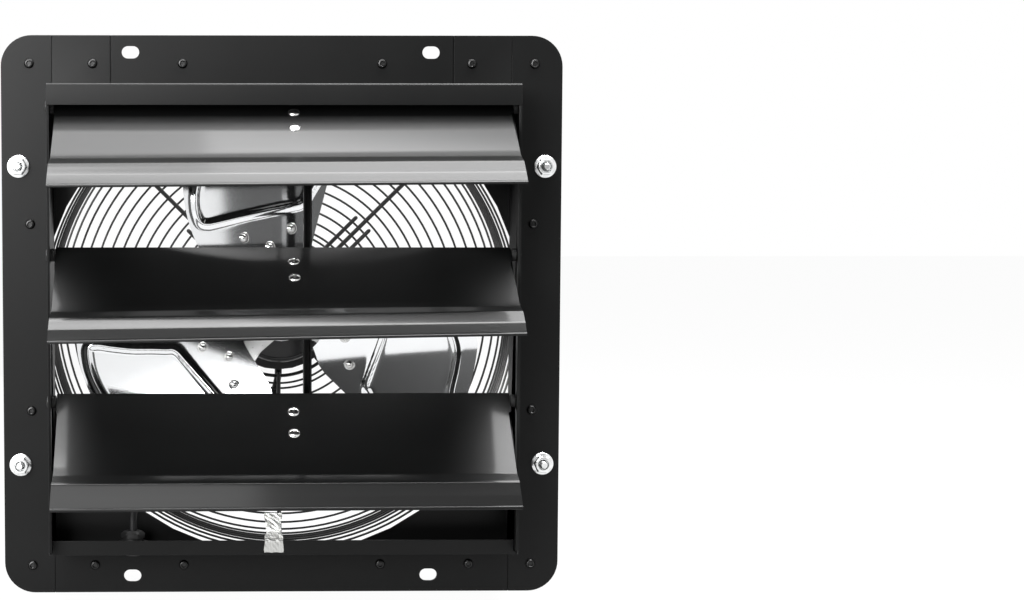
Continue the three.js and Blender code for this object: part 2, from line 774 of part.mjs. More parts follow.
function hubSetScrew() {
  const start = -(shaftRadius + seatGap);
  const headTop = -collarRadius - seatGap;
  return join(rodZ(setScrewRadius, start - setScrewLength, start, 0, setScrewY, holeSides),
    rodZ(setScrewHeadRadius, headTop - setScrewHeadHeight, headTop, 0, setScrewY, footSides + 1));
}

// Motor places along the shaft
const statorStart = (motorStart + motorEnd - statorLength) / 2;
const statorEnd = statorStart + statorLength;
const frontBearingY = motorStart + motorWall + seatGap;
const rearBearingY = motorEnd - motorWall - seatGap - bearingLength;

// One motor shell as a cup: the closed end, a rounded edge, the wall and the bearing seat inside
function motorShell(endY, openY, holeRadius) {
  const inward = Math.sign(openY - endY);
  const at = (distance) => endY + inward * distance;
  const edge = [];
  const innerEdge = [];
  const edgeSteps = 3;
  for (let i = 0; i <= edgeSteps; i += 1) {
    const angle = Math.PI / 2 * i / edgeSteps;
    const centre = motorRadius - motorEdgeRadius;
    edge.push([centre + motorEdgeRadius * Math.sin(angle), at(motorEdgeRadius * (1 - Math.cos(angle)))]);
    const bend = motorEdgeRadius - motorWall;
    innerEdge.push([centre + bend * Math.sin(angle), at(motorWall + bend * (1 - Math.cos(angle)))]);
  }
  const seatRadius = bearingRadius + seatGap;
  const seatDepth = motorWall + bearingLength;
  return [
    [holeRadius, at(0)],
    ...edge,
    [motorRadius, openY],
    [motorRadius - motorWall, openY],
    ...innerEdge.reverse(),
    [seatRadius + bearingSeatWall, at(motorWall)],
    [seatRadius + bearingSeatWall, at(seatDepth)],
    [seatRadius, at(seatDepth)],
    [seatRadius, at(motorWall)],
    [holeRadius, at(motorWall)],
  ];
}

function motorFrontShell() {
  return turned(motorShell(motorStart, motorSplit - seatGap / 2, shaftRadius + 2 * seatGap));
}

function motorRearShell() {
  const cup = turned(motorShell(motorEnd, motorSplit + seatGap / 2, shaftRadius));
  const boss = rodY(rearBossRadius, motorEnd - motorWall, motorEnd + rearBossHeight, 0, 0);
  const leadHole = rodZ(bootStubRadius + seatGap, -motorRadius - cutOverrun, -motorRadius / 2, 0, bootY, holeSides);
  return cut(join(cup, boss), leadHole);
}

function ringY(outer, inner, y0, y1, sides = motorSides) {
  return turned([[inner, y0], [outer, y0], [outer, y1], [inner, y1]], sides);
}

function motorShaft() {
  return rodY(shaftRadius, hubDiscY, rearBearingY + bearingLength, 0, 0);
}

function rotorCore() {
  return ringY(statorBore - airGap, shaftRadius + seatGap, statorStart, statorEnd, roundSides);
}

// Guard outline from the flange to the innermost ring: shares of its height, and of the way out from its
// inner radius to its base radius
const guardShares = [
  [0, 1],
  [0.085, 0.9705],
  [0.17, 0.959],
  [0.26, 0.949],
  [0.42, 0.946],
  [0.58, 0.943],
  [0.67, 0.927],
  [0.74, 0.895],
  [0.81, 0.836],
  [0.87, 0.75],
  [0.915, 0.623],
  [0.95, 0.447],
  [0.98, 0.242],
  [1, 0],
];
const guardOutline = new THREE.CatmullRomCurve3(guardShares.map(([height, radius]) => new THREE.Vector3(
  guardInnerRadius + radius * (guardBaseRadius - guardInnerRadius), guardY + height * guardHeight, 0)));

// A point on the guard's outline at a distance along it, moved inwards, as radius and Y
function guardPoint(distance, inwards) {
  const share = Math.min(Math.max(distance / guardOutline.getLength(), 0), 1);
  const point = guardOutline.getPointAt(share);
  const along = guardOutline.getTangentAt(share);
  return [point.x - inwards * along.y, point.y + inwards * along.x];
}

function ringDistances() {
  const distances = [];
  const total = guardOutline.getLength();
  for (let distance = 0; distance < guardSideLength; distance += sideRingPitch) distances.push(distance);
  const start = distances[distances.length - 1];
  const second = total - innerRingPitches[0];
  const third = second - innerRingPitches[1];
  const rearCount = Math.round((third - start) / rearRingPitch);
  for (let i = 1; i <= rearCount; i += 1) distances.push(start + (third - start) * i / rearCount);
  return [...distances, second, total];
}

const ribInset = (ringWireRadius + ribWireRadius) * weldShare;
const footInset = ringWireRadius + seatGap + footWireRadius;

function guardRing(distance) {
  const [radius, y] = guardPoint(distance, 0);
  const ring = new THREE.TorusGeometry(radius, ringWireRadius, ringWireSides, ringSides);
  return ring.rotateX(Math.PI / 2).rotateY(Math.PI / ringSides).translate(0, y, 0);
}

function guardRib(angle) {
  const total = guardOutline.getLength();
  const steps = 20;
  const points = Array.from({ length: steps + 1 }, (_, i) => {
    const [radius, y] = guardPoint(total * i / steps, ribInset);
    return new THREE.Vector3(radius, y + (i === 0 ? ringWireRadius : 0), 0);
  });
  points.push(new THREE.Vector3(points[steps].x - ribWireRadius, points[steps].y, 0));
  return wireAlong(new THREE.CatmullRomCurve3(points), ribWireRadius, wireSides, steps).rotateY(angle);
}

// Motor hanger: a hairpin of wire beside a diagonal rib, its closed end at the motor
function motorHanger(angle) {
  const total = guardOutline.getLength();
  const [lastRadius, lastY] = guardPoint(total, ribInset);
  const arm = [];
  const armSteps = 4;
  for (let i = 0; i <= armSteps; i += 1) {
    const [radius, y] = guardPoint(total - (hangerReach - lastRadius) * (1 - i / armSteps), ribInset);
    arm.push([radius, y]);
  }
  const turnRadius = hangerEnd + hangerHalfGap;
  const bend = [];
  const bendSteps = 4;
  for (let i = 1; i < bendSteps; i += 1) {
    const swing = Math.PI * i / bendSteps;
    bend.push([turnRadius - hangerHalfGap * Math.sin(swing), lastY, hangerHalfGap * Math.cos(swing)]);
  }
  const points = [
    ...arm.map(([radius, y]) => [radius, y, hangerHalfGap]),
    ...bend,
    ...arm.slice().reverse().map(([radius, y]) => [radius, y, -hangerHalfGap]),
  ];
  return bentWire(points, footWireRadius, wireSides).rotateY(angle);
}

function wireGuard() {
  const rings = ringDistances().map(guardRing);
  const ribs = Array.from({ length: ribCount }, (_, i) => guardRib(2 * Math.PI * i / ribCount));
  const hangers = [1, 3, 5, 7].map((eighth) => motorHanger(2 * Math.PI * eighth / ribCount));
  return join(...rings, ...ribs, ...hangers);
}

const footCageShares = [1, 0.75, 0.5, 0.3];
const footLyingShares = [0.12, 1];
const footTurnShare = 1.05;

// Guard foot: a doubled wire that runs down beside a diagonal rib, leaves the cage between its first
// two rings, lies along the plate and turns round the guard bolt
function guardFoot(side, level) {
  const half = Math.SQRT1_2;
  const plateY = plateBack + seatGap + footWireRadius;
  const leaveY = guardY + sideRingPitch / 2;
  const leaveRadius = guardBaseRadius + footRise;
  const turnRadius = footHalfGap * footTurnShare;
  const bolt = new THREE.Vector2(guardBoltX, guardBoltZ);
  const leave = new THREE.Vector2(leaveRadius * half, leaveRadius * half);
  const boltDirection = bolt.clone().sub(leave).normalize();
  const arm = (offset) => {
    const across = (radius, y) => [half * radius + half * offset, y, half * radius - half * offset];
    const cage = footCageShares.map((share) => {
      const [radius, y] = guardPoint(footLength * share, footInset);
      return across(radius, y);
    });
    const lying = footLyingShares.map((share) => {
      const place = leave.clone().lerp(bolt, share);
      return [place.x + boltDirection.y * offset, plateY, place.y - boltDirection.x * offset];
    });
    return [
      ...cage,
      across(guardPoint(sideRingPitch, footInset)[0], leaveY + footWireRadius),
      across(leaveRadius, leaveY),
      ...lying,
    ];
  };
  const turn = [];
  const turnSteps = 4;
  for (let i = 0; i <= turnSteps; i += 1) {
    const swing = Math.PI * (i + 0.5) / (turnSteps + 1);
    const forward = turnRadius * Math.sin(swing);
    const sideways = turnRadius * Math.cos(swing);
    turn.push([bolt.x + boltDirection.x * forward + boltDirection.y * sideways, plateY,
      bolt.y + boltDirection.y * forward - boltDirection.x * sideways]);
  }
  const points = [...arm(footHalfGap), ...turn, ...arm(-footHalfGap).reverse()];
  return bentWire(points.map(([x, y, z]) => [side * x, y, level * z]), footWireRadius, footSides);
}

function guardBolt(side, level) {
  const x = side * guardBoltX;
  const z = level * guardBoltZ;
  const washerY = plateBack + 2 * seatGap + 2 * footWireRadius;
  const headY = washerY + washerThickness;
  return join(
    rodY(guardBoltRadius, -(seatGap + nutHeight + boltEnd), headY, x, z, holeSides),
    rodY(washerRadius, washerY, headY, x, z),
    rodY(guardBoltHeadRadius, headY - washerThickness / 2, headY + guardBoltHeadHeight, x, z, footSides + 1));
}

function guardNut(side, level) {
  const x = side * guardBoltX;
  const z = level * guardBoltZ;
  const top = -seatGap;
  const body = join(rodY(nutFlangeRadius, top - nutFlangeThickness, top, x, z),
    rodY(nutRadius, top - nutHeight, top - nutFlangeThickness / 2, x, z, footSides + 1));
  return cut(body, rodY(guardBoltRadius + seatGap, top - nutHeight - cutOverrun, top + cutOverrun, x, z, holeSides));
}

// Motor mount ring round the motor, under the closed ends of the hangers
function mountRing() {
  const [, hangerY] = guardPoint(guardOutline.getLength(), ribInset);
  const back = hangerY - footWireRadius - seatGap;
  return ringY(mountRingRadius, motorRadius + seatGap, back - mountRingThickness, back);
}

// Cable boot: a stub in the motor shell's lead hole and a taper outside it
function cableBoot() {
  const top = -motorRadius - seatGap;
  const stub = rodZ(bootStubRadius, top - panelSheet, top + motorWall, 0, bootY, holeSides);
  const taper = new THREE.CylinderGeometry(bootRadius, bootTipRadius, bootLength, holeSides);
  taper.rotateX(Math.PI / 2).translate(0, bootY, top - bootLength / 2);
  return join(stub, taper);
}

// The lead's route, chosen by hand: out of the boot, in through the guard's rear, round behind the
// blades on the far side, forward through the fan hole and down into the gland
const glandTopZ = bottomTop + glandTop;
const leadEndZ = glandTopZ - leadSeat;
const leadRoute = [
  [0, bootY, -(motorRadius + bootLength + 2 * seatGap)],
  [0, bootY, -52],
  [-1.2, 105.6, -59],
  [-3.2, 106.6, -66.5],
  [-5.4, 105.6, -73.5],
  [-7.2, 101.9, -79],
  [-8.2, 96.8, -81.5],
  [-8.6, 91.5, -81.6],
  [-9.6, 86, -82.3],
  [-12.5, 80.5, -84.2],
  [-18, 76, -87.2],
  [-27, 72.6, -91],
  [-42, 68.3, -99],
  [-66, 61, -108],
  [-84, 54, -117],
  [-95, 47, -123.5],
  [-100, 37, -126.5],
  [-102.5, 26, -128],
  [-103.5, 14, -129.5],
  [-104.5, 3, -131.5],
  [-106, -7, -136],
  [glandX, -12.5, glandTopZ + leadBendEnd],
  [glandX, glandY, glandTopZ + leadStraight],
  [glandX, glandY, leadEndZ],
];

function motorLead() {
  return wire(leadRoute, leadRadius, leadSides, 48);
}

// Gland in the shutter box floor: a tail through the floor, a hexagon on it and the bore for the lead
function leadGland() {
  const topZ = glandTopZ;
  const tailZ = bottomTop - bottomHem - glandTail;
  const collarZ = bottomTop + seatGap;
  const body = join(rodZ(glandRadius, tailZ, topZ, glandX, glandY, roundSides),
    rodZ(glandCollarRadius, collarZ, collarZ + glandCollarHeight, glandX, glandY, footSides + 1));
  const bore = rodZ(leadRadius + seatGap, topZ - leadSeat - seatGap, topZ + cutOverrun, glandX, glandY, leadSides);
  return cut(body, bore);
}

// Foil strip: hangs in front of the bottom lip and leans back inside the box
function foilStrip() {
  const front = -bottomDepth - seatGap - foilThickness / 2;
  const lipTop = -boxHalf + bottomLipHeight + seatGap + foilThickness / 2;
  const line = [
    [front, lipTop - foilDrop],
    [front, lipTop],
    [-bottomDepth + panelSheet + seatGap, lipTop],
    [-bottomDepth + foilLean / 2, lipTop + foilRise / 3],
    [-bottomDepth + foilLean, lipTop + foilRise],
  ];
  return extrudeX(sheetOutline(line, foilThickness), foilX - foilWidth / 2, foilX + foilWidth / 2);
}

// Assembly: fixed pieces first, then each moving group
addPart('mounting_plate', mountingPlate(), blackPaint);
for (const side of [-1, 1]) addPart(`${sideNames[side]}_panel`, sidePanel(side), blackPaint);
addPart('top_panel', topPanel(), blackPaint);
addPart('bottom_panel', bottomPanel(), blackPaint);

louverNames.forEach((name, index) => {
  const hung = new THREE.Group();
  hung.position.set(0, pivotY, pivotZs[index]);
  hung.rotation.x = louverTilts[index] * radians;
  exhaustFan.add(hung);
  addPart(`louver_${name}`, louver(), louverPaint, hung);
  addPart(`louver_bracket_${name}`, louverBracket(), steel, hung);
  for (const side of [-1, 1]) {
    addPart(`pivot_screw_${name}_${sideNames[side]}`, pivotPin(side, pivotZs[index]), steel);
    addPart(`pivot_bush_${name}_${sideNames[side]}`, pivotBush(side, pivotZs[index]), blackPlastic);
  }
  addPart(`tie_pin_${name}`, tiePin(pivotZs[index]), steel);
});
addPart('tie_bar', tieBar(), blackPaint);

addPart('hub_spider', hubSpider(), steel);
addPart('hub_set_screw', hubSetScrew(), steel);
for (let i = 0; i < bladeCount; i += 1) {
  addPart(`fan_blade_${i + 1}`, fanBlade(2 * Math.PI * i / bladeCount), bladeMetal);
}
addPart('motor_shaft', motorShaft(), steel);
addPart('rotor_core', rotorCore(), coreSteel);

addPart('motor_front_shell', motorFrontShell(), motorPaint);
addPart('motor_rear_shell', motorRearShell(), motorPaint);
addPart('stator_core', ringY(statorRadius, statorBore, statorStart, statorEnd), coreSteel);
addPart('front_winding', ringY(windingOuterRadius, windingInnerRadius,
  statorStart - seatGap - windingHeight, statorStart - seatGap), copper);
addPart('rear_winding', ringY(windingOuterRadius, windingInnerRadius,
  statorEnd + seatGap, statorEnd + seatGap + windingHeight), copper);
addPart('front_bearing', ringY(bearingRadius, shaftRadius + runningGap,
  frontBearingY, frontBearingY + bearingLength, roundSides), steel);
addPart('rear_bearing', ringY(bearingRadius, shaftRadius + runningGap,
  rearBearingY, rearBearingY + bearingLength, roundSides), steel);
addPart('motor_mount_ring', mountRing(), blackPaint);

addPart('wire_guard', wireGuard(), wirePaint);
for (const side of [-1, 1]) {
  for (const level of [-1, 1]) {
    const corner = `${levelNames[level]}_${sideNames[side]}`;
    addPart(`guard_foot_${corner}`, guardFoot(side, level), wirePaint);
    addPart(`guard_bolt_${corner}`, guardBolt(side, level), zinc);
    addPart(`guard_nut_${corner}`, guardNut(side, level), zinc);
  }
}

addPart('cable_boot', cableBoot(), blackPlastic);
addPart('motor_lead', motorLead(), leadRubber);
addPart('lead_gland', leadGland(), blackPlastic);
addPart('foil_strip', foilStrip(), foilMetal);

export default exhaustFan;
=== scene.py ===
"""The looks of a wall exhaust fan with a gravity shutter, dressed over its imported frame.

Shapes are worked out in millimetres and written to their meshes in metres. X runs to the right, Y from the
louvers to the motor and Z up, from the middle of the flange's front.
"""
import math

import bmesh
import bpy
import numpy as np
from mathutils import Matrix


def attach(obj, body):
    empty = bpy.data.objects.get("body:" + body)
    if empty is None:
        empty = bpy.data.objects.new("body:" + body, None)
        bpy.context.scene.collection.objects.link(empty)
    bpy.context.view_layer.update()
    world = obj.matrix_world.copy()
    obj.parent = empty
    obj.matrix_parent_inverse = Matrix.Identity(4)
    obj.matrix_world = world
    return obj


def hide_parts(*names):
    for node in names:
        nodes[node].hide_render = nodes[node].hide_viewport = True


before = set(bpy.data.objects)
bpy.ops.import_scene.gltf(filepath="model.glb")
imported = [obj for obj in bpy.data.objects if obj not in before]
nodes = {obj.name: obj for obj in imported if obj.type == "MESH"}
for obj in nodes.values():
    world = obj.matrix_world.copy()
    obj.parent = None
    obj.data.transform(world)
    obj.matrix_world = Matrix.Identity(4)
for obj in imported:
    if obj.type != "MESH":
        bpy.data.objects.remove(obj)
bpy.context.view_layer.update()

# Camera: about a metre and a half in front of the flange, a little left of the fan's axis and above it,
# looking slightly down. The fan stands in the left half of the picture.
camera_place = (-0.0433, -1.4777, 0.1027)
camera_pitch, camera_yaw = 85.941, -1.044
camera_data = bpy.data.cameras.new("camera")
camera_data.sensor_width = 36
camera_data.lens = 72.6
camera_data.shift_x = 0.2467
camera_data.shift_y = 0.0187
camera = bpy.data.objects.new("camera", camera_data)
bpy.context.scene.collection.objects.link(camera)
camera.location = camera_place
camera.rotation_euler = (math.radians(camera_pitch), 0, math.radians(camera_yaw))
bpy.context.scene.camera = camera


# Motor lead: a round black sheathed cable that leaves the motor's boot, enters the guard between two
# rings, passes behind the blades and through the plate, and ends in the gland in the box floor.
mm_per_metre = 1000
merge_distance = 2e-6


class Value:
    """A number that varies over a surface: a node's output with arithmetic."""

    def __init__(self, finish, socket):
        self.finish, self.socket = finish, socket

    def arithmetic(self, operation, first, second):
        return self.finish.node("ShaderNodeMath", {"operation": operation}, {0: first, 1: second})

    def __add__(self, other):
        return self.arithmetic("ADD", self, other)

    def __radd__(self, other):
        return self.arithmetic("ADD", other, self)

    def __mul__(self, other):
        return self.arithmetic("MULTIPLY", self, other)

    def __rmul__(self, other):
        return self.arithmetic("MULTIPLY", other, self)


class Finish:
    """A material, or the tree of the surround, whose nodes are made one at a time."""

    def __init__(self, name, tree=None, **plain):
        if tree is None:
            self.material = bpy.data.materials.new(name)
            self.material.use_nodes = True
            tree = self.material.node_tree
        self.tree = tree
        self.shader = tree.nodes.get("Principled BSDF") or tree.nodes["Background"]
        self.surface(**plain)

    def feed(self, socket, value):
        if isinstance(value, Value):
            self.tree.links.new(value.socket, socket)
        elif isinstance(value, (tuple, list)) and socket.type == "RGBA":
            socket.default_value = (*value[:3], 1)
        else:
            socket.default_value = value

    def node(self, kind, settings=None, inputs=None, output=0):
        made = self.tree.nodes.new(kind)
        for setting, value in (settings or {}).items():
            setattr(made, setting, value)
        for socket, value in (inputs or {}).items():
            self.feed(made.inputs[socket], value)
        return Value(self, made.outputs[output])

    def place(self, stretch):
        spot = self.node("ShaderNodeTexCoord", output="Object")
        return self.node("ShaderNodeMapping", {}, {"Vector": spot, "Scale": stretch})

    def noise(self, size_mm, detail, stretch=(1, 1, 1)):
        inputs = {"Vector": self.place(stretch), "Scale": mm_per_metre / size_mm, "Detail": detail}
        return self.node("ShaderNodeTexNoise", {}, inputs)

    def mix(self, share, first, second):
        return self.node("ShaderNodeMix", {"data_type": "RGBA"}, {0: share, 6: first, 7: second}, output=2)

    def bump(self, height, depth_mm, strength):
        inputs = {"Height": height, "Distance": depth_mm / mm_per_metre, "Strength": strength}
        return self.node("ShaderNodeBump", {}, inputs)

    def surface(self, **values):
        for socket, value in values.items():
            self.feed(self.shader.inputs[socket.replace("_", " ")], value)


class Shape:
    """Grids of points in millimetres, gathered into one mesh."""

    def __init__(self):
        self.points, self.faces, self.count = [], [], 0

    def grid(self, points, close_rows=False, close_columns=False, caps=False):
        """Joins each point of a grid to its neighbours. A tube closes its columns and caps its ends."""
        points = np.asarray(points, float)
        rows, columns = points.shape[:2]
        i = np.arange(rows if close_rows else rows - 1)[:, None]
        j = np.arange(columns if close_columns else columns - 1)[None, :]
        below, beside = (i + 1) % rows, (j + 1) % columns
        corners = np.broadcast_arrays(i * columns + j, i * columns + beside, below * columns + beside,
                                      below * columns + j)
        self.faces += (np.stack(corners, -1).reshape(-1, 4) + self.count).tolist()
        if caps:
            self.faces.append((self.count + np.arange(columns)).tolist())
            self.faces.append((self.count + (rows - 1) * columns + np.arange(columns)).tolist())
        self.points.append(points.reshape(-1, 3))
        self.count += rows * columns
        return self


def smooth_line(points, count):
    """A smooth line through points: cubic pieces whose slope at each point is the mean of its neighbours'
    slopes, weighted by their nearness, then sampled evenly by length."""
    points = np.asarray(points, float)
    place = np.concatenate([[0], np.cumsum(np.linalg.norm(np.diff(points, axis=0), axis=1) ** 0.5)])
    step = np.diff(place)[:, None]
    run = np.diff(points, axis=0) / step
    middle = (run[:-1] * step[1:] + run[1:] * step[:-1]) / (step[1:] + step[:-1])
    slope = np.vstack([run[:1], middle, run[-1:]])
    fine_steps = 30
    fine = np.linspace(0, place[-1], fine_steps * len(points))
    i = np.clip(np.searchsorted(place, fine, side="right") - 1, 0, len(points) - 2)
    h = step[i]
    t = ((fine - place[i])[:, None]) / h
    line = ((2 * t**3 - 3 * t**2 + 1) * points[i] + (t**3 - 2 * t**2 + t) * h * slope[i]
            + (3 * t**2 - 2 * t**3) * points[i + 1] + (t**3 - t**2) * h * slope[i + 1])
    length = np.concatenate([[0], np.cumsum(np.linalg.norm(np.diff(line, axis=0), axis=1))])
    even = np.linspace(0, length[-1], count)
    return np.stack([np.interp(even, length, line[:, k]) for k in range(line.shape[1])], -1)


def wire(path, radius, sides, across=(0.7, -0.6, 0.4), round_ends=True):
    """A round wire: each point of the path plus r (cos t, sin t) in the plane square to it. Round ends add
    one radius at each end, over which that circle shrinks to nothing."""
    path = np.asarray(path, float)
    radii = np.full(len(path), float(radius))
    if round_ends:
        swing = np.radians([85, 60, 30])
        first, last = path[0] - path[1], path[-1] - path[-2]
        first, last = first / np.linalg.norm(first), last / np.linalg.norm(last)
        start = path[0] + radius * np.sin(swing)[:, None] * first
        end = path[-1] + radius * np.sin(swing[::-1])[:, None] * last
        path = np.vstack([start, path, end])
        radii = np.concatenate([radius * np.cos(swing), radii, radius * np.cos(swing[::-1])])
    ahead = np.gradient(path, axis=0)
    ahead /= np.linalg.norm(ahead, axis=1)[:, None]
    side = np.cross(ahead, np.asarray(across, float))
    side /= np.linalg.norm(side, axis=1)[:, None]
    up = np.cross(side, ahead)
    t = np.linspace(0, 2 * np.pi, sides, endpoint=False)[None, :, None]
    return path[:, None] + radii[:, None, None] * (np.cos(t) * up[:, None] + np.sin(t) * side[:, None])


def tidy_up(mesh, crease, join_flat=None):
    """Merges doubles, turns the faces outwards and shades the mesh smooth up to the crease angle. Faces that
    meet at less than join_flat degrees become one, where it is given."""
    work = bmesh.new()
    work.from_mesh(mesh)
    bmesh.ops.remove_doubles(work, verts=work.verts, dist=merge_distance)
    if join_flat:
        flat = math.radians(join_flat)
        bmesh.ops.dissolve_limit(work, verts=work.verts, edges=work.edges, angle_limit=flat)
    bmesh.ops.recalc_face_normals(work, faces=work.faces)
    work.to_mesh(mesh)
    work.free()
    mesh.shade_smooth()
    mesh.set_sharp_from_angle(angle=math.radians(crease))


def hang(name, mesh, finish, body, replaced):
    """Makes the piece that holds a mesh, gives it its finish and hangs it on its body."""
    piece = bpy.data.objects.new(name, mesh)
    bpy.context.scene.collection.objects.link(piece)
    mesh.materials.clear()
    mesh.materials.append(finish.material)
    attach(piece, body)
    if replaced:
        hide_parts(*replaced)
    return piece


def dress(name, shape, finish, body, replaced=(), crease=35):
    """A new piece from a shape: its mesh, cleaned up and hung on its body."""
    mesh = bpy.data.meshes.new(name)
    mesh.from_pydata(np.concatenate(shape.points) / mm_per_metre, [], shape.faces)
    tidy_up(mesh, crease)
    hang(name, mesh, finish, body, replaced)


lead_radius = 2.75
lead_route = [
    (0, 104.5, -45.8), (0, 104.5, -52), (-1.2, 105.6, -59), (-3.2, 106.6, -66.5), (-5.4, 105.6, -73.5),
    (-7.2, 101.9, -79), (-8.2, 96.8, -81.5), (-8.6, 91.5, -81.6), (-9.6, 86, -82.3), (-12.5, 80.5, -84.2),
    (-18, 76, -87.2), (-27, 72.6, -91), (-42, 68.3, -99), (-66, 61, -108), (-84, 54, -117),
    (-95, 47, -123.5), (-100, 37, -126.5), (-102.5, 26, -128), (-103.5, 14, -129.5), (-104.5, 3, -131.5),
    (-106, -7, -136), (-107, -12.5, -144), (-107, -14, -150), (-107, -14, -158.3)]
lead_sheath = Finish("lead_sheath", Specular_IOR_Level=0.2)
scuffs = lead_sheath.noise(6, 4)
lead_sheath.surface(Base_Color=lead_sheath.mix(scuffs, (0.007, 0.007, 0.0075), (0.014, 0.014, 0.0145)),
                    Roughness=0.38 + 0.2 * scuffs,
                    Normal=lead_sheath.bump(lead_sheath.noise(1.2, 2), 0.05, 0.4))
lead = wire(smooth_line(lead_route, 160), lead_radius, 16, round_ends=False)
dress("motor_lead_sheath", Shape().grid(lead, close_columns=True, caps=True), lead_sheath,
      "housing", ["motor_lead"])


# Boot and gland of the lead: moulded black plastic. The boot is a ribbed taper in the motor's side, the
# gland a hexagon with a domed nut over the hole in the box floor.
def turned(profile, centre, along="y", sides=48, hexed=None, turn=0):
    """A profile of (radius, height) pairs carried round an axis. hexed is the share, for each pair, by which
    the circle becomes a hexagon of the same distance across its flats: r / cos(t mod 60 - 30 degrees). turn
    is the angle of its first corner in degrees."""
    radius, height = np.asarray(profile, float).T
    t = np.linspace(0, 2 * np.pi, sides, endpoint=False)
    share = np.zeros(len(radius)) if hexed is None else np.asarray(hexed, float)
    flats = 1 / np.cos(np.mod(t, np.pi / 3) - np.pi / 6) - 1
    reach = radius[:, None] * (1 + share[:, None] * flats[None, :])
    first, second = reach * np.cos(t + np.radians(turn)), reach * np.sin(t + np.radians(turn))
    rise = np.broadcast_to(height[:, None], reach.shape)
    order = {"x": (rise, first, second), "y": (first, rise, second), "z": (first, second, rise)}
    return np.stack(order[along], -1) + np.asarray(centre, float)


black_plastic = Finish("black_plastic", Specular_IOR_Level=0.25)
grain = black_plastic.noise(0.8, 3)
mottle = black_plastic.noise(9, 3)
black_plastic.surface(Base_Color=black_plastic.mix(mottle, (0.007, 0.007, 0.007), (0.013, 0.013, 0.013)),
                      Roughness=0.42 + 0.2 * grain, Normal=black_plastic.bump(grain, 0.04, 0.5))
boot_y = 104.5
boot_top, boot_bottom = -38, -45.5
boot_wide, boot_narrowing = 6, 2
boot_rib, boot_rib_pitch = 0.35, 1.9
stub_radius, stub_top = 3.6, -36.5
boot_height = np.linspace(boot_top, boot_bottom, 40)
boot_taper = boot_wide - boot_narrowing * (boot_height - boot_top) / (boot_bottom - boot_top)
boot_ribs = boot_rib * np.cos(2 * np.pi * (boot_height - boot_top) / boot_rib_pitch)
boot_profile = [(0, stub_top), (stub_radius, stub_top), (stub_radius, boot_top),
                *zip(boot_taper + boot_ribs, boot_height), (2.9, boot_bottom), (0, boot_bottom)]
boot = Shape().grid(turned(boot_profile, (0, boot_y, 0), "z"), close_columns=True)
dress("lead_boot", boot, black_plastic, "housing", ["cable_boot"])
gland_x, gland_y = lead_route[-1][:2]
gland_profile = [(0, -170.3), (5.2, -170.3), (6.5, -169.3), (6.5, -164), (8.6, -164), (9, -163.6), (9, -160),
                 (8.6, -159.6), (7, -159.5), (6.9, -158), (7.6, -157.6), (7.6, -154.6), (6.9, -153.2),
                 (5.2, -152.4), (3.1, -152.3), (3, -158.5), (0, -158.5)]
gland_hex = [0, 0, 0, 0, 1, 1, 1, 1, 0, 0, 0.9, 0.9, 0.3, 0, 0, 0, 0]
gland = Shape().grid(turned(gland_profile, (gland_x, gland_y, 0), "z", 72, gland_hex), close_columns=True)
dress("lead_gland_body", gland, black_plastic, "housing", ["lead_gland"])


# Mounting plate and the four shutter panels: a flat 1.2 mm sheet and folded 1 mm sheets of steel in a satin
# black powder coat, whose edges the punch and the coat leave slightly round.
def powder_coat(name, colour, gloss, specular, peel_mm=0.02):
    """Powder coat: a near-black colour with faint clouds, a fifth darker to a fifth lighter, and a fine
    orange peel."""
    cloud_size, peel_size, cloud_roughness = 60, 1.6, 0.06
    coat = Finish(name, Specular_IOR_Level=specular)
    clouds = coat.noise(cloud_size, 4)
    deep, pale = [tuple(share * np.array(colour)) for share in (0.8, 1.2)]
    coat.surface(Base_Color=coat.mix(clouds, deep, pale),
                 Roughness=(gloss - cloud_roughness / 2) + cloud_roughness * clouds,
                 Normal=coat.bump(coat.noise(peel_size, 2), peel_mm, 0.3))
    return coat


def edged_copy(node, name, finish, body, width_mm=0.25, crease=40):
    """A copy of a sheet node: loose triangles merged, flat ones joined, and its edges broken by a bevel."""
    mesh = nodes[node].data.copy()
    tidy_up(mesh, crease, join_flat=0.5)
    bevel = hang(name, mesh, finish, body, [node]).modifiers.new("broken_edges", "BEVEL")
    bevel.width = width_mm / mm_per_metre
    bevel.segments = 2
    bevel.limit_method = "ANGLE"
    bevel.angle_limit = math.radians(crease)
    bevel.harden_normals = True


black_coat = powder_coat("black_powder_coat", (0.003, 0.0031, 0.0031), 0.34, 0.16)
for sheet in ("mounting_plate", "left_panel", "right_panel", "top_panel", "bottom_panel"):
    edged_copy(sheet, f"{sheet}_sheet", black_coat, "housing")


# Flange screws: small button heads of blackened steel with a hexagon socket, which hold the shutter
# panels' flanges to the plate all round.
screw_black = Finish("screw_black", Metallic=1.0)
screw_wear = screw_black.noise(0.9, 3)
screw_black.surface(Base_Color=screw_black.mix(screw_wear, (0.015, 0.015, 0.015), (0.06, 0.06, 0.06)),
                    Roughness=0.25 + 0.2 * screw_wear)
screw_edge = 180
screw_inner, screw_middle = 135, 71
screw_low, screw_high = -68, 66
screw_seat = -0.05
screw_columns = (-screw_edge, -screw_inner, -screw_middle, screw_middle, screw_inner, screw_edge)
screw_places = [(x, z) for x in screw_columns for z in (-screw_edge, screw_edge)]
screw_places += [(x, z) for x in (-screw_edge, screw_edge) for z in (screw_low, screw_high)]
screw_profile = [(0, -0.5), (1.55, -0.5), (1.6, -1.9), (1.9, -2.15), (2.6, -1.95), (3.2, -1.3), (3.5, -0.5),
                 (3.5, 0.1), (0, 0.1)]
screw_hex = [0, 1, 1, 0.3, 0, 0, 0, 0, 0]
screws = Shape()
for x, z in screw_places:
    screws.grid(turned(screw_profile, (x, screw_seat, z), "y", 24, screw_hex), close_columns=True)
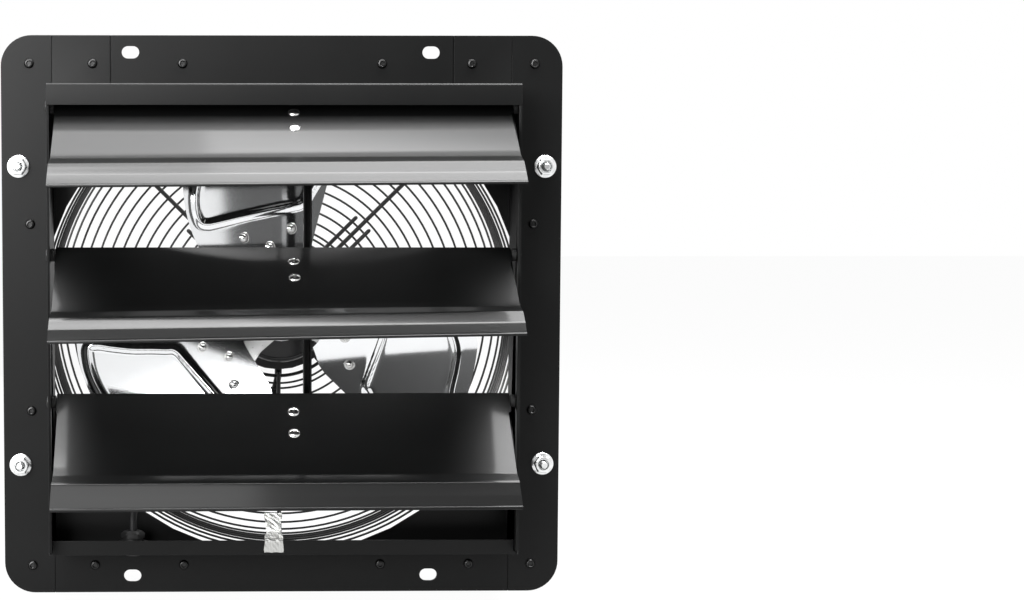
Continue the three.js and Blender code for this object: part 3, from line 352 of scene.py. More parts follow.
dress("flange_screws", screws, screw_black, "housing", crease=30)


# Louvers: 1 mm sheet with a smooth black coat, a step and two facets before a flattened hem, and an ear at
# each end that hangs on a pivot screw. Each hangs at its own angle and is twisted a little, and the middle
# one's lip is folded a little further down.
louver_coat = powder_coat("louver_coat", (0.002, 0.0021, 0.0021), 0.36, 0.1, 0.004)
louver_coat.surface(Coat_Weight=0.25, Coat_Roughness=0.1)
pivot_y = -36.0
pivot_z = {"top": 148.2, "middle": 45.3, "bottom": -57.6}
louver_tilt = {"top": 34.0, "middle": 32.8, "bottom": 43.2}
louver_twist = {"top": 0.9, "middle": 2.0, "bottom": 0.5}
lip_fold = {"top": 0.0, "middle": 0.09, "bottom": 0.0}
louver_half = 159.0
louver_sheet = 1.0


def tilted(along, above, x, name):
    """From distances along the louver and above it to places: the louver turns about its pivot by its tilt,
    less a twist in proportion to the distance from its middle."""
    tilt = np.radians(louver_tilt[name] - louver_twist[name] * x / louver_half)
    y = pivot_y - along * np.cos(tilt) - above * np.sin(tilt)
    z = pivot_z[name] - along * np.sin(tilt) + above * np.cos(tilt)
    return np.stack(np.broadcast_arrays(x, y, z), -1)


def band(line, thickness):
    """The closed outline of a sheet: the line moved half a thickness to each side."""
    line = np.asarray(line, float)
    ahead = np.gradient(line, axis=0)
    ahead /= np.linalg.norm(ahead, axis=1)[:, None]
    square = np.stack([-ahead[:, 1], ahead[:, 0]], -1) * thickness / 2
    return np.vstack([line + square, (line - square)[::-1]])


fold_at = 86.4
louver_line = np.array([
    (-5, 2.5), (12, 2.5), (13.5, 2.5), (25, 2.5), (45, 2.5), (60, 2.5), (66.6, 2.5), (67.8, 2.62),
    (69, 2.88), (72, 3.58), (75, 4.28), (76.2, 4.54), (76.9, 4.58), (77.6, 4.46), (80, 3.9), (83, 3.23),
    (85.6, 2.66), (fold_at, 2.47), (87.2, 2.24), (90, 1.33), (92, 0.68), (93.4, 0.22)])
left_reach = [(-5, 158.4), (12, 158.4), (13.5, 157.9), (66, 157.8), (76, 158.5), (95, 159)]
right_reach = [(-5, 158.4), (12, 158.4), (13.5, 156.7), (66, 157.3), (76, 157.9), (95, 159)]
ear = np.array([(-5, 2.4), (-2.75, -5.5), (2.75, -5.5), (6, -2.75), (12, 2.4)])
ear_ends = ((-louver_half, louver_sheet - louver_half), (louver_half - louver_sheet, louver_half))
hem_along, hem_above, hem_half = 94.6, -0.1, 158.9
hem_wide, hem_thick = 1.45, 0.85
hem_cos, hem_sin = 0.97, 0.24
hem_turn = np.linspace(0, 2 * np.pi, 20, endpoint=False)
for name in louver_tilt:
    drop = lip_fold[name] * np.maximum(0, louver_line[:, 0] - fold_at)
    along, above = band(louver_line - np.stack([0 * drop, drop], -1), louver_sheet).T
    share = np.linspace(-1, 1, 41)[:, None]
    reach = np.where(share < 0, np.interp(along, *zip(*left_reach)), np.interp(along, *zip(*right_reach)))
    sheet = tilted(along[None, :], above[None, :], share * reach, name)
    louver = Shape().grid(sheet, close_columns=True, caps=True)
    for ends in ear_ends:
        plate = tilted(ear[None, :, 0], ear[None, :, 1], np.array(ends)[:, None], name)
        louver.grid(plate, close_columns=True, caps=True)
    flat, thick = hem_wide * np.cos(hem_turn), hem_thick * np.sin(hem_turn)
    hem_drop = (hem_along - fold_at) * lip_fold[name]
    hem = tilted(hem_along + hem_cos * flat + hem_sin * thick,
                 hem_above - hem_drop - hem_sin * flat + hem_cos * thick, share * hem_half, name)
    louver.grid(hem, close_columns=True, caps=True)
    dress(f"louver_{name}_sheet", louver, louver_coat, f"louver_{name}", [f"louver_{name}"],
          crease=50)


# Louver rivets: two bright aluminium dome heads on each louver, one behind the other, that hold its
# bracket. Their tails are under it.
def metal(name, colour, gloss, speck_mm, scratch=(1, 1, 1), depth_mm=0.01, contrast=0.15):
    """Bare or plated metal: its colour in fine patches, brushed roughness from three quarters to one and a
    quarter of the gloss, and a shallow grain."""
    grain_size = 1.5
    made = Finish(name, Metallic=1.0)
    patches = made.noise(speck_mm, 4)
    brushed = made.noise(grain_size, 3, scratch)
    dull, bright = [tuple(share * np.array(colour)) for share in (1 - contrast, 1 + contrast)]
    made.surface(Base_Color=made.mix(patches, dull, bright), Roughness=gloss * 0.75 + gloss * 0.5 * brushed,
                 Normal=made.bump(brushed, depth_mm, 0.4))
    return made


rivet_metal = metal("rivet_metal", (0.78, 0.78, 0.77), 0.2, 2, contrast=0.06)
rivet_radius, rivet_height = 4.2, 1.7
rivet_x, rivet_rise = 6.6, 3.0
rivet_distances = (12.0, 31.5)
dome = np.radians(np.linspace(0, 90, 9))
rivet_profile = [*zip(rivet_radius * np.sin(dome), rivet_height * np.cos(dome)), (rivet_radius, -0.4),
                 (0, -0.4)]
tail_profile = [(0, -2.6), (2.4, -2.5), (2.8, -2), (2.8, -1.1), (0, -1.1)]
for name in louver_tilt:
    rivets = Shape()
    for along in rivet_distances:
        for profile in (rivet_profile, tail_profile):
            local = turned(profile, (0, 0, 0), "z", 32)
            spots = tilted(along - local[..., 1], rivet_rise + local[..., 2], rivet_x + local[..., 0], name)
            rivets.grid(spots, close_columns=True)
    dress(f"louver_rivets_{name}", rivets, rivet_metal, f"louver_{name}")


# Louver brackets, tie bar and tie pins: plain steel brackets whose curved slots ride on the pins of a
# black channel, so that the three louvers swing together.
bracket_steel = metal("bracket_steel", (0.5, 0.5, 0.49), 0.33, 5)
for name in louver_tilt:
    bracket = f"louver_bracket_{name}"
    edged_copy(bracket, f"{bracket}_plate", bracket_steel, f"louver_{name}", 0.2)
edged_copy("tie_bar", "tie_bar_channel", black_coat, "tie_bar", 0.3)
pin_reach, pin_angle = 18, math.radians(20)
pin_y, pin_drop = pivot_y + pin_reach * math.cos(pin_angle), pin_reach * math.sin(pin_angle)
pin_profile = [(0, 13.4), (2.2, 13.4), (2.8, 13.8), (2.8, 14.2), (1.5, 14.2), (1.5, 20.6), (2.8, 20.6),
               (2.8, 21), (2.2, 21.4), (0, 21.4)]
for name in louver_tilt:
    pin_centre = (0, pin_y, pivot_z[name] - pin_drop)
    pin = Shape().grid(turned(pin_profile, pin_centre, "x", 24), close_columns=True)
    dress(f"tie_pin_{name}_turned", pin, rivet_metal, "tie_bar", [f"tie_pin_{name}"])


# Louver pivots: pan-head screws with a cross recess through the side walls, each with a black bush that
# fills the gap beside the louver.
head_front = 165
recess_arm, recess_width, recess_depth = 1.9, 0.55, 0.9
recess_sharpness, recess_end_sharpness = 12, 10


def cross_recess(profile, centre, flip):
    """A pan head whose front is pressed down inside a cross: the height falls by the depth where the smaller
    of |y| and |z| is under the width and the larger under the arm."""
    points = turned(profile, (0, 0, 0), "x", 64)
    small = np.minimum(abs(points[..., 1]), abs(points[..., 2]))
    large = np.maximum(abs(points[..., 1]), abs(points[..., 2]))
    narrow = 1 / (1 + np.exp((small - recess_width) * recess_sharpness))
    inside = narrow / (1 + np.exp((large - recess_arm) * recess_end_sharpness))
    points[..., 0] -= recess_depth * inside * (points[..., 0] > head_front)
    points[..., 0] *= flip
    return points + np.asarray(centre, float)


head_radius, head_rim, head_crown = 4.2, 165.2, 1
head_curve = np.radians(np.linspace(90, 0, 14))
head_profile = [(0, 155), (1.9, 155), (1.9, 164.3), (head_radius, 164.3),
                *zip(head_radius * np.sin(head_curve), head_rim + head_crown * np.cos(head_curve))]
bush_profile = [(2.15, 159.3), (4.2, 159.3), (4.6, 159.7), (4.6, 162.3), (4.2, 162.7), (2.15, 162.7)]
for name in louver_tilt:
    for side, flip in (("left", -1), ("right", 1)):
        centre = (0, pivot_y, pivot_z[name])
        screw = Shape().grid(cross_recess(head_profile, centre, flip), close_columns=True)
        dress(f"pivot_{name}_{side}_head", screw, screw_black, "housing",
              [f"pivot_screw_{name}_{side}"])
        ring = turned(bush_profile, (0, 0, 0), "x", 32) * (flip, 1, 1) + np.array(centre)
        bush = Shape().grid(ring, close_rows=True, close_columns=True)
        dress(f"pivot_{name}_{side}_ring", bush, black_plastic, "housing",
              [f"pivot_bush_{name}_{side}"])


# Fan blades: three pressed sheets of bright aluminium, rolled to a hollow and set aslant, each stiffened by
# a raised bead that runs round its outer part.
blade_metal = metal("blade_aluminium", (0.85, 0.86, 0.87), 0.08, 14, (1, 1, 1), 0.0005, 0.03)
blade_count = 3
blade_root, blade_tip = 34, 152
blade_sheet = 1.2
middle_angle, blade_y = 4, 25
blade_slope, blade_hollow_radius = 0.14, 500
bead_rise, bead_width = 1.7, 2.5
leading_edge = np.array([
    (blade_root, -17), (40, -20.5), (47, -23.9), (54.5, -24), (65, -22.4), (75, -21.3), (85.4, -20.5),
    (98, -19.7), (110, -19.8), (121, -20.6), (132, -22.1), (142, -24.1), (147, -25.6), (149.6, -25.2),
    (151, -22.5), (151.8, -18), (blade_tip, -12)])
trailing_edge = np.array([
    (blade_root, 6), (37, 22), (41, 35), (45.5, 43.5), (50.5, 49), (56, 52.6), (62, 53.6), (69, 53),
    (75, 51.6), (86, 48), (99.4, 43.5), (116.6, 37.6), (127, 33.2), (135, 29), (140.5, 26), (144.5, 21.5),
    (146.5, 14), (149, 6), (150.8, -3), (blade_tip, -12)])
bead_loop = [
    (83.5, 38.5), (79.9, 32.5), (77, 24.5), (75.4, 15.4), (75.4, 7.6), (76.7, 0), (78.7, -5.8), (80.6, -9.6),
    (83.5, -11.8), (87, -12.4), (98, -14.6), (112, -16.6), (126, -18.8), (137, -20.3), (143, -20),
    (145, -16), (145.2, -11), (143.6, -5), (140, 0.5), (135, 5.5), (132.3, 12), (130, 18), (125.5, 22.6),
    (117.5, 29.5), (109, 34.4), (100, 38.2), (93, 40.4), (87.5, 41)]


def flat_place(radius, angle):
    """X and Z of a radius and an angle in degrees, anticlockwise from the top as seen from the louvers."""
    return np.stack([-radius * np.sin(np.radians(angle)), radius * np.cos(np.radians(angle))], -1)


def blade_rise(radius, angle):
    """Y of the blade's sheet, straight along the line at its middle angle: its depth there plus the slope
    times u, less u squared over twice the hollow's radius, at u mm across that line."""
    across_line = radius * np.sin(np.radians(middle_angle - angle))
    return blade_y + blade_slope * across_line - across_line**2 / (2 * blade_hollow_radius)


def nearest(points, line):
    """The distance from each point to a closed line: to the nearest place on each of its segments, then the
    least."""
    start, run = line, np.roll(line, -1, axis=0) - line
    offset = points[..., None, :] - start
    share = np.clip((offset * run).sum(-1) / (run * run).sum(-1), 0, 1)
    return np.linalg.norm(offset - share[..., None] * run, axis=-1).min(-1)


def spun(points, number):
    """A blade's place turned about the Y axis by thirds of a turn."""
    turn = 2 * np.pi * number / blade_count
    x, y, z = points[..., 0], points[..., 1], points[..., 2]
    return np.stack([x * np.cos(turn) - z * np.sin(turn), y, x * np.sin(turn) + z * np.cos(turn)], -1)


def two_sided(front, back):
    """A sheet from the grids of its two sides, closed along its four edges."""
    sheet = Shape().grid(front).grid(back)
    for edge in (np.s_[0], np.s_[-1], np.s_[:, 0], np.s_[:, -1]):
        sheet.grid(np.stack([front[edge], back[edge]]))
    return sheet


radial = np.sin(np.linspace(0, np.pi / 2, 150))[:, None]
across = np.linspace(0, 1, 120)[None, :]
blade_radius = blade_root + (blade_tip - blade_root) * radial + 0 * across
start_angle = np.interp(blade_radius, *leading_edge.T)
end_angle = np.interp(blade_radius, *trailing_edge.T)
blade_angle = start_angle + (end_angle - start_angle) * across
blade_flat = flat_place(blade_radius, blade_angle)
loop_places = flat_place(*np.array(bead_loop + bead_loop[:1]).T)
distance = nearest(blade_flat, smooth_line(loop_places, 160)[:-1])
bead_height = bead_rise * np.exp(-((distance / bead_width) ** 2))
blade_face = blade_rise(blade_radius, blade_angle) - bead_height
blade_front = np.stack([blade_flat[..., 0], blade_face, blade_flat[..., 1]], -1)
blade_back = blade_front + np.array([0, blade_sheet, 0])
for number in range(blade_count):
    blade = two_sided(spun(blade_front, number), spun(blade_back, number))
    dress(f"blade_{number + 1}_pressing", blade, blade_metal, "rotor",
          [f"fan_blade_{number + 1}"], crease=60)


# Hub spider: a zinc-washed steel disc with a collar and three arms riveted behind the blades, clamped to
# the shaft by a set screw. The rivets are bright domes on the blades' front.
spider_steel = metal("spider_steel", (0.62, 0.62, 0.62), 0.3, 6, contrast=0.06)
edged_copy("hub_spider", "hub_spider_pressing", spider_steel, "rotor", 0.3, 50)
collar_y = 35
set_profile = [(0, -4.4), (1.6, -4.4), (1.6, -8.3), (3, -8.3), (3, -10.8), (2.6, -11.2), (1.35, -11.2),
               (1.3, -9.4), (0, -9.4)]
set_hex = [0, 0, 0, 0, 0, 0, 1, 1, 0]
set_screw = Shape().grid(turned(set_profile, (0, collar_y, 0), "z", 36, set_hex), close_columns=True)
dress("hub_set_screw_head", set_screw, screw_black, "rotor", ["hub_set_screw"])
blade_rivet_places = ((62.5, -6.5), (49.5, 10), (62, 26.5))
blade_rivet_sink = 0.1
blade_rivet_head = [*zip(2.7 * np.sin(dome), 0.5 + 1.6 * np.cos(dome)), (2.8, 0.25), (3.9, 0.2), (4.2, -0.1),
                    (4.2, -0.5), (0, -0.5)]
blade_rivet_tail = [(0, 0), (2.6, 0), (2.6, 5.2), (2.1, 5.6), (0, 5.6)]
blade_rivets = Shape()
for number in range(blade_count):
    for radius, angle in blade_rivet_places:
        x, z = flat_place(radius, angle)
        y = float(blade_rise(radius, angle))
        head = turned(blade_rivet_head, (0, 0, 0), "y", 28) * (1, -1, 1)
        blade_rivets.grid(spun(head + (x, y - blade_rivet_sink, z), number), close_columns=True)
        tail = turned(blade_rivet_tail, (0, 0, 0), "y", 20)
        blade_rivets.grid(spun(tail + (x, y, z), number), close_columns=True)
dress("blade_rivets", blade_rivets, rivet_metal, "rotor")


# Motor: two gloss black shells with a turned shaft, held by a black ring under the guard's hangers. Its
# laminated core, windings and bearings sit inside.
shaft_steel = metal("shaft_steel", (0.62, 0.62, 0.62), 0.2, 3)
shaft_profile = [(0, 23.2), (3.3, 23.2), (4, 23.9), (4, 123.2), (0, 123.2)]
shaft = Shape().grid(turned(shaft_profile, (0, 0, 0)), close_columns=True)
dress("shaft_turned", shaft, shaft_steel, "rotor", ["motor_shaft"])
motor_gloss = powder_coat("motor_gloss", (0.006, 0.006, 0.0065), 0.2, 0.4)
shell_radius, shell_corner, shell_wall, rim_bevel = 37.7, 4, 1.5, 0.4
shell_core = shell_radius - shell_corner
motor_front, motor_rear = 45.5, 125.5
front_rim, rear_rim = 89.85, 90.15
shaft_hole = 4.6


def motor_cup(closed_y, open_y, hole):
    """A shell's outline from the edge of its hole, round the corner, along the wall and back inside."""
    inward = 1 if open_y > closed_y else -1
    corner = np.radians(np.linspace(0, 90, 9))
    bend = shell_corner - shell_wall
    outer = list(zip(shell_core + shell_corner * np.sin(corner),
                     closed_y + inward * shell_corner * (1 - np.cos(corner))))
    inner = list(zip(shell_core + bend * np.sin(corner),
                     closed_y + inward * (shell_wall + bend * (1 - np.cos(corner)))))[::-1]
    wall = [(shell_radius, closed_y + inward * 2 * shell_corner),
            (shell_radius, open_y - inward * rim_bevel), (shell_radius - rim_bevel, open_y),
            (shell_radius - shell_wall, open_y)]
    return [(hole, closed_y + inward * shell_wall), (hole, closed_y), *outer, *wall, *inner]


front_cup = motor_cup(motor_front, front_rim, shaft_hole)
front_shell = Shape().grid(turned(front_cup, (0, 0, 0), "y", 96), close_rows=True, close_columns=True)
dress("motor_front_cup", front_shell, motor_gloss, "housing", ["motor_front_shell"])
rear_steps = [(0, 128.5), (9.2, 128.5), (10, 127.7), (10, 126.1), (10.6, 125.5), (29, 125.5), (29.8, 125.1),
              (31, 125.1), (31.8, 125.5)]
rear_cup = rear_steps + motor_cup(motor_rear, rear_rim, 0)[2:] + [(0, motor_rear - shell_wall)]
rear_shell = Shape().grid(turned(rear_cup, (0, 0, 0), "y", 96), close_columns=True)
dress("motor_rear_cup", rear_shell, motor_gloss, "housing", ["motor_rear_shell"])
core_steel = metal("core_steel", (0.3, 0.31, 0.32), 0.4, 2, (1, 12, 1), 0.03)
copper_wire = metal("copper_wire", (0.75, 0.33, 0.16), 0.3, 1.2, (1, 9, 1), 0.08)
for node, finish in (("rotor_core", core_steel), ("stator_core", core_steel), ("front_winding", copper_wire),
                     ("rear_winding", copper_wire), ("front_bearing", shaft_steel),
                     ("rear_bearing", shaft_steel)):
    nodes[node].data.materials.clear()
    nodes[node].data.materials.append(finish.material)


# Wire guard: rings of 1.6 mm steel wire welded over eight thicker ribs, and four hairpin hangers that hold
# the motor's ring, all dipped in black.
wire_coat = powder_coat("wire_coat", (0.01, 0.01, 0.01), 0.33, 0.45)
guard_inner, guard_base = 52.4, 3.6
guard_span, guard_depth = 122.2, 92.4
guard_shares = [(1, 0), (0.9705, 0.085), (0.959, 0.17), (0.949, 0.26), (0.946, 0.42), (0.943, 0.58),
                (0.927, 0.67), (0.895, 0.74), (0.836, 0.81), (0.75, 0.87), (0.623, 0.915), (0.447, 0.95),
                (0.242, 0.98), (0, 1)]
guard_points = np.array(guard_shares) * (guard_span, guard_depth) + (guard_inner, guard_base)
guard_outline = smooth_line(guard_points, 400)
guard_length = np.concatenate([[0], np.cumsum(np.linalg.norm(np.diff(guard_outline, axis=0), axis=1))])
guard_total = guard_length[-1]


def guard_place(distance, inwards=0.0):
    """Radius and Y at a distance along the guard's outline, moved inwards square to it."""
    at = np.asarray(distance, float)
    spot = np.stack([np.interp(at, guard_length, guard_outline[:, k]) for k in (0, 1)], -1)
    slope = np.gradient(guard_outline, guard_length, axis=0)
    ahead = np.stack([np.interp(at, guard_length, slope[:, k]) for k in (0, 1)], -1)
    return spot + inwards * np.stack([-ahead[..., 1], ahead[..., 0]], -1)


def around(radius, y, sideways, angle):
    """Turns a place at a radius and a sideways offset about the Y axis by an angle."""
    c, s = np.cos(angle), np.sin(angle)
    return np.stack([radius * c - sideways * s, y + 0 * radius, -(radius * s + sideways * c)], -1)


ring_wire, last_ring_wire, rib_wire, hanger_wire = 0.8, 1.3, 1.6, 1.5
side_pitch, rear_pitch = 7.9, 8
side_stretch = 86
third_ring_gap, second_ring_gap = 9.6, 5.7
side_rings = np.arange(0, side_stretch, side_pitch)
third_ring = guard_total - third_ring_gap
rear_count = round((third_ring - side_rings[-1]) / rear_pitch)
rear_rings = side_rings[-1] + (third_ring - side_rings[-1]) * np.arange(1, rear_count + 1) / rear_count
ring_distances = np.concatenate([side_rings, rear_rings, [guard_total - second_ring_gap, guard_total]])
circle = np.linspace(0, 2 * np.pi, 120, endpoint=False)[:, None]
section = np.linspace(0, 2 * np.pi, 8, endpoint=False)[None, :]
guard = Shape()
for number, (radius, y) in enumerate(guard_place(ring_distances)):
    gauge = last_ring_wire if number == len(ring_distances) - 1 else ring_wire
    reach = radius + gauge * np.cos(section)
    rise = y + gauge * np.sin(section) + 0 * circle
    ring = np.stack([reach * np.cos(circle), rise, reach * np.sin(circle)], -1)
    guard.grid(ring, close_rows=True, close_columns=True)
rib_inset, rib_start, rib_overhang = 1.87, 0.9, 1.2
weld_profile = [(0, -1.1), (0.8, -0.7), (1.05, 0), (0.8, 0.7), (0, 1.1)]
for eighth in range(8):
    angle = eighth * np.pi / 4
    spine = guard_place(np.linspace(rib_start, guard_total, 70), rib_inset)
    spine = np.vstack([spine, spine[-1] - (rib_overhang, 0)])
    square = around(np.array([0.0]), 0.0, 1.0, angle)[0]
    rib = wire(around(spine[:, 0], spine[:, 1], 0.0, angle), rib_wire, 12, square)
    guard.grid(rib, close_columns=True, caps=True)
    for distance in ring_distances:
        radius, y = guard_place(distance, ring_wire)
        weld = turned(weld_profile, (0, 0, 0), "y", 6) + around(np.array(radius), y, 0.0, angle)
        guard.grid(weld, close_columns=True)
hanger_half, hanger_inner, hanger_outer = 7.0, 49, 90
for eighth in (1, 3, 5, 7):
    angle = eighth * np.pi / 4
    last = guard_place(guard_total, rib_inset)
    arm = guard_place(guard_total - (hanger_outer - last[0]) * np.linspace(1, 0, 24), rib_inset)
    swing = np.linspace(0, np.pi, 15)[1:-1]
    radius = np.concatenate([arm[:, 0], hanger_inner - hanger_half * np.sin(swing), arm[::-1, 0]])
    y = np.concatenate([arm[:, 1], np.full(len(swing), last[1]), arm[::-1, 1]])
    offset = np.concatenate([np.full(len(arm), hanger_half), hanger_half * np.cos(swing),
                             np.full(len(arm), -hanger_half)])
    hairpin = wire(around(radius, y, offset, angle), hanger_wire, 12, (0.02, 1, 0.03))
    guard.grid(hairpin, close_columns=True, caps=True)
dress("wire_guard_welded", guard, wire_coat, "housing", ["wire_guard"])


# Guard feet, bolts and nuts: each foot is a doubled black wire that ends in a loop round a zinc-plated
# hexagon bolt. The bolt has a washer over the loop, and a collared nut on the flange's front, past which
# its threaded end stands out.
bolt_x, bolt_z = 188, 107
foot_wire, foot_half, foot_y = 1.5, 4.6, 4.3
foot_inset, foot_reach = 2.8, 45
exit_distance, exit_y = 7.8, 9.3
landing_radius, landing_y = 178.6, 7.3


def foot_path(side, level):
    """A foot's middle line: down inside the cage at each side of the diagonal rib, out between the first two
    rings, along the plate, and round the bolt in a half circle."""
    half = math.sqrt(0.5)
    bolt, leave = np.array([bolt_x, bolt_z], float), np.array([landing_radius * half] * 2)
    run = (bolt - leave) / np.linalg.norm(bolt - leave)

    def across(radius, y, offset):
        return (half * (radius + offset), y, half * (radius - offset))

    def one_arm(offset):
        cage = [across(*guard_place(foot_reach * share, foot_inset), offset)
                for share in (1, 0.8, 0.6, 0.42, 0.3)]
        way_out = [across(guard_place(exit_distance, foot_inset)[0], exit_y, offset),
                   across(landing_radius, landing_y, offset)]
        lying = [leave + (bolt - leave) * share for share in (0.14, 0.3, 0.6, 0.9, 1)]
        return cage + way_out + [(p[0] + run[1] * offset, foot_y, p[1] - run[0] * offset) for p in lying]

    swing = np.linspace(0, np.pi, 9)[1:-1]
    turn = [(bolt[0] + run[0] * foot_half * math.sin(t) + run[1] * foot_half * math.cos(t), foot_y,
             bolt[1] + run[1] * foot_half * math.sin(t) - run[0] * foot_half * math.cos(t)) for t in swing]
    points = np.array(one_arm(foot_half) + turn + one_arm(-foot_half)[::-1])
    return smooth_line(points, 220) * (side, 1, level)


zinc_plate = metal("zinc_plate", (0.88, 0.89, 0.89), 0.3, 1.6, contrast=0.05)
bolt_radius, thread_pitch, thread_depth = 2.5, 0.8, 0.22
thread_y = np.linspace(-9.4, 0, 48)
thread_share = 0.5 - 0.5 * np.cos(2 * np.pi * thread_y / thread_pitch)
thread = [*zip(bolt_radius - thread_depth * thread_share, thread_y)]
bolt_end = [(0, -9.9), (1.9, -9.9)]
bolt_head = [(bolt_radius, 6.1), (7.6, 6.1), (7.6, 7.3), (4.9, 7.3), (5, 7.5), (5, 10.2), (4.5, 10.7),
             (0, 10.7)]
bolt_hex = [0] * len(bolt_end + thread) + [0, 0, 0, 0, 1, 1, 0.2, 0]
nut_profile = [(2.9, -0.3), (7.7, -0.3), (8, -0.6), (8, -1.2), (7.7, -1.5), (6.4, -1.7), (5.8, -1.8),
               (5.8, -6.6), (5.6, -7), (4.9, -7.3), (4, -7.3), (3.75, -7.1), (3.6, -5), (2.9, -4.4)]
nut_hex = [0, 0, 0, 0, 0, 0.5, 1, 1, 0.7, 0.3, 0, 0, 0, 0]
nut_turns = {"lower_left": 4, "upper_left": -3, "lower_right": -6, "upper_right": 2}
for side_name, side in (("left", -1), ("right", 1)):
    for level_name, level in (("lower", -1), ("upper", 1)):
        corner = f"{level_name}_{side_name}"
        foot = Shape().grid(wire(foot_path(side, level), foot_wire, 12, (0.1, 0.3, 0.95 * side * level)),
                            close_columns=True, caps=True)
        dress(f"guard_foot_{corner}_wire", foot, wire_coat, "housing",
              [f"guard_foot_{corner}"])
        centre = (bolt_x * side, 0, bolt_z * level)
        bolt = Shape().grid(turned(bolt_end + thread + bolt_head, centre, "y", 48, bolt_hex),
                            close_columns=True)
        dress(f"guard_bolt_{corner}_turned", bolt, zinc_plate, "housing", [f"guard_bolt_{corner}"])
        nut = Shape().grid(turned(nut_profile, centre, "y", 60, nut_hex, nut_turns[corner]),
                           close_rows=True, close_columns=True)
        dress(f"guard_nut_{corner}_turned", nut, zinc_plate, "housing", [f"guard_nut_{corner}"])


# Motor mount ring: a flat ring round the motor, cut from steel and dipped in black with the guard, under
# the closed ends of the hangers.
edged_copy("motor_mount_ring", "motor_mount_ring_plate", wire_coat, "housing", 0.3)


# Foil strip: a thin strip of aluminium foil that hangs over the bottom lip by its own fold and leans back
# into the box. Its width wanders, and ripples, sines of the place across and down it, crinkle it. They fade
# out at the fold.
foil_metal = metal("foil_metal", (0.5, 0.5, 0.485), 0.42, 3, (1, 1, 1), 0.08, 0.06)
foil_x = -6.8
foil_width_shares = ([0, 0.3, 0.5, 0.7, 1], [6.7, 6.6, 5.4, 5.2, 6.6])
foil_fold_share = 0.3
foil_sheet = (0, 0.35, 0.12)
foil_spine = [(-37.35, -164.4), (-37.4, -160), (-37.35, -156.8), (-36.9, -155.35), (-35.6, -155.2),
              (-32, -153.6), (-25.3, -150.3), (-19.5, -145.5), (-13.8, -140.4)]
spine = smooth_line(foil_spine, 60)
down, sideways = np.meshgrid(np.linspace(0, 1, 60), np.linspace(-1, 1, 24), indexing="ij")
half_width = np.interp(down, *foil_width_shares) + 0.25 * np.sin(23 * down)
over = half_width * sideways
wide_ripple = 0.11 * np.sin(2.8 * over + 31 * down) * np.cos(17 * down - 0.7 * over)
crinkle = wide_ripple + 0.1 * np.sin(57 * down + 1.3 * over)
from_fold = np.minimum(1, 8 * abs(down - foil_fold_share))
foil_front = np.stack([foil_x + over, spine[:, :1] + crinkle * from_fold,
                       spine[:, 1:] + 0.15 * np.sin(21 * down + over)], -1)
foil = two_sided(foil_front, foil_front + np.array(foil_sheet))
dress("foil_strip_crinkled", foil, foil_metal, "housing", ["foil_strip"], crease=70)


# Studio: a plain pale floor and a white surround, soft lamps above, in front and to the left, and three
# black cards that the camera doesn't see, in front, above and behind. They darken what the fan mirrors.
def white_where_seen(finish, lit, glow, strength):
    """Plain white for Light Path's camera, glossy and transmission rays. Other rays meet what is lit."""
    seen = finish.node("ShaderNodeLightPath", output="Is Camera Ray")
    for ray in ("Is Glossy Ray", "Is Transmission Ray"):
        seen = seen.arithmetic("MAXIMUM", seen, finish.node("ShaderNodeLightPath", output=ray))
    white = finish.node(glow, {}, {"Color": (1, 1, 1), "Strength": 1.0})
    return finish.node("ShaderNodeMixShader", {}, {0: seen * strength, 1: lit, 2: white})


def staged(name, low, high, finish):
    """A flat piece of the studio between two opposite corners."""
    mesh = bpy.data.meshes.new(name)
    corners = [low, (high[0], low[1], low[2]), high, (low[0], high[1], high[2])]
    mesh.from_pydata(corners, [], [(0, 1, 2, 3)])
    mesh.materials.append(finish.material)
    piece = bpy.data.objects.new(name, mesh)
    bpy.context.scene.collection.objects.link(piece)
    return piece


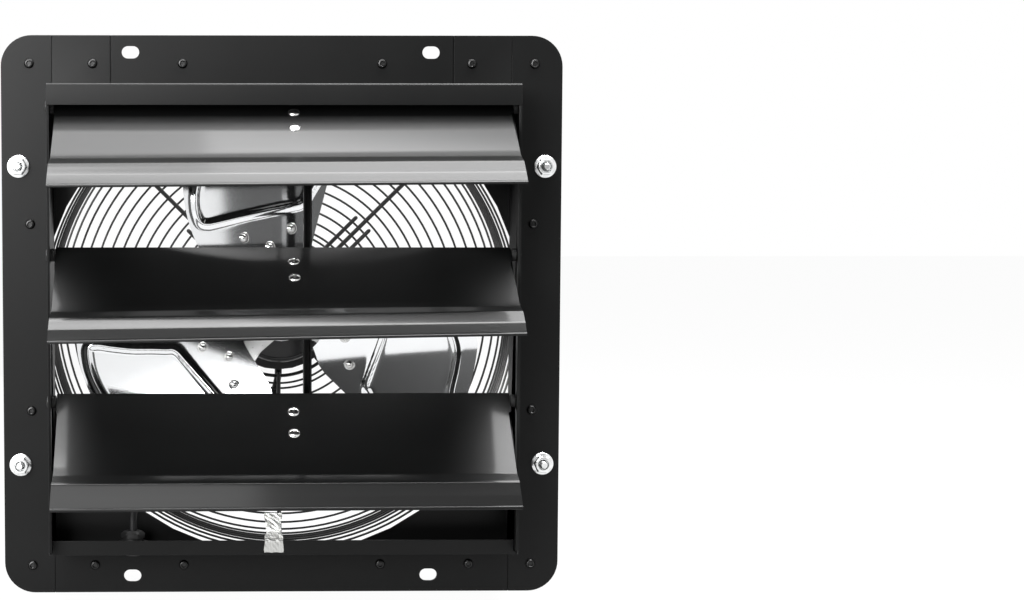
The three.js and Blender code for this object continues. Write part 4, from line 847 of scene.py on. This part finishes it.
floor_z, floor_half, floor_white_share = -0.2003, 6, 0.95
floor_finish = Finish("floor_paper", Base_Color=(0.85, 0.85, 0.85), Roughness=0.9, Specular_IOR_Level=0.0)
floor_lit = Value(floor_finish, floor_finish.shader.outputs[0])
floor_white = white_where_seen(floor_finish, floor_lit, "ShaderNodeEmission", floor_white_share)
floor_finish.feed(floor_finish.tree.nodes["Material Output"].inputs[0], floor_white)
staged("floor", (-floor_half, -floor_half, floor_z), (floor_half, floor_half, floor_z), floor_finish)
card_finish = Finish("black_card", Base_Color=(0.06, 0.06, 0.06), Roughness=0.9, Specular_IOR_Level=0.0)
for name, low, high in (("front_card", (-0.1, -1.55, -0.2), (0.655, -1.55, 0.5)),
                        ("top_card", (-0.8, -0.8, 1.2), (0.8, -0.45, 1.2)),
                        ("back_card", (-0.75, 1.6, -0.2), (0.1, 1.6, 0.9))):
    staged(name, low, high, card_finish).visible_camera = False

world = bpy.data.worlds.new("studio")
bpy.context.scene.world = world
world.use_nodes = True
surround = Finish("surround", world.node_tree, Color=(1, 1, 1), Strength=0.45)
surround_lit = Value(surround, surround.shader.outputs[0])
world_white = white_where_seen(surround, surround_lit, "ShaderNodeBackground", 1.0)
surround.feed(world.node_tree.nodes["World Output"].inputs[0], world_white)


def softbox(name, place, target, size, radiance):
    """A rectangular lamp whose face has the given radiance: power = 4 x radiance x area."""
    lamp = bpy.data.lights.new(name, "AREA")
    lamp.shape = "RECTANGLE"
    lamp.size, lamp.size_y = size
    lamp.energy = 4 * radiance * size[0] * size[1]
    box = bpy.data.objects.new(name, lamp)
    bpy.context.scene.collection.objects.link(box)
    box.location = place
    aim = np.asarray(target, float) - np.asarray(place, float)
    aim /= np.linalg.norm(aim)
    level_aim = math.hypot(aim[0], aim[1])
    heading = math.atan2(aim[0], -aim[1]) + math.pi if level_aim > 0 else 0
    box.rotation_euler = (math.acos(-aim[2]), 0, heading)


softbox("overhead_softbox", (0, 0.07, 1.25), (0, 0.07, 0), (1.4, 0.72), 7.5)
softbox("overhead_right_softbox", (0.415, 0.07, 1.3), (0.415, 0.07, 0), (0.97, 0.72), 6.5)
softbox("front_strip", (0.1, -0.3275, 1.22), (0.1, -0.3275, 0), (1.3, 0.245), 22.0)
softbox("front_high_softbox", (-0.45, -1.15, 1.22), (-0.45, -1.15, 0), (0.9, 0.66), 4.5)
softbox("left_softbox", (-1.0, -1.6, 0.6), (-0.1, 0, 0.1), (1.3, 1.0), 13.0)

bpy.context.scene.view_settings.view_transform = "Standard"
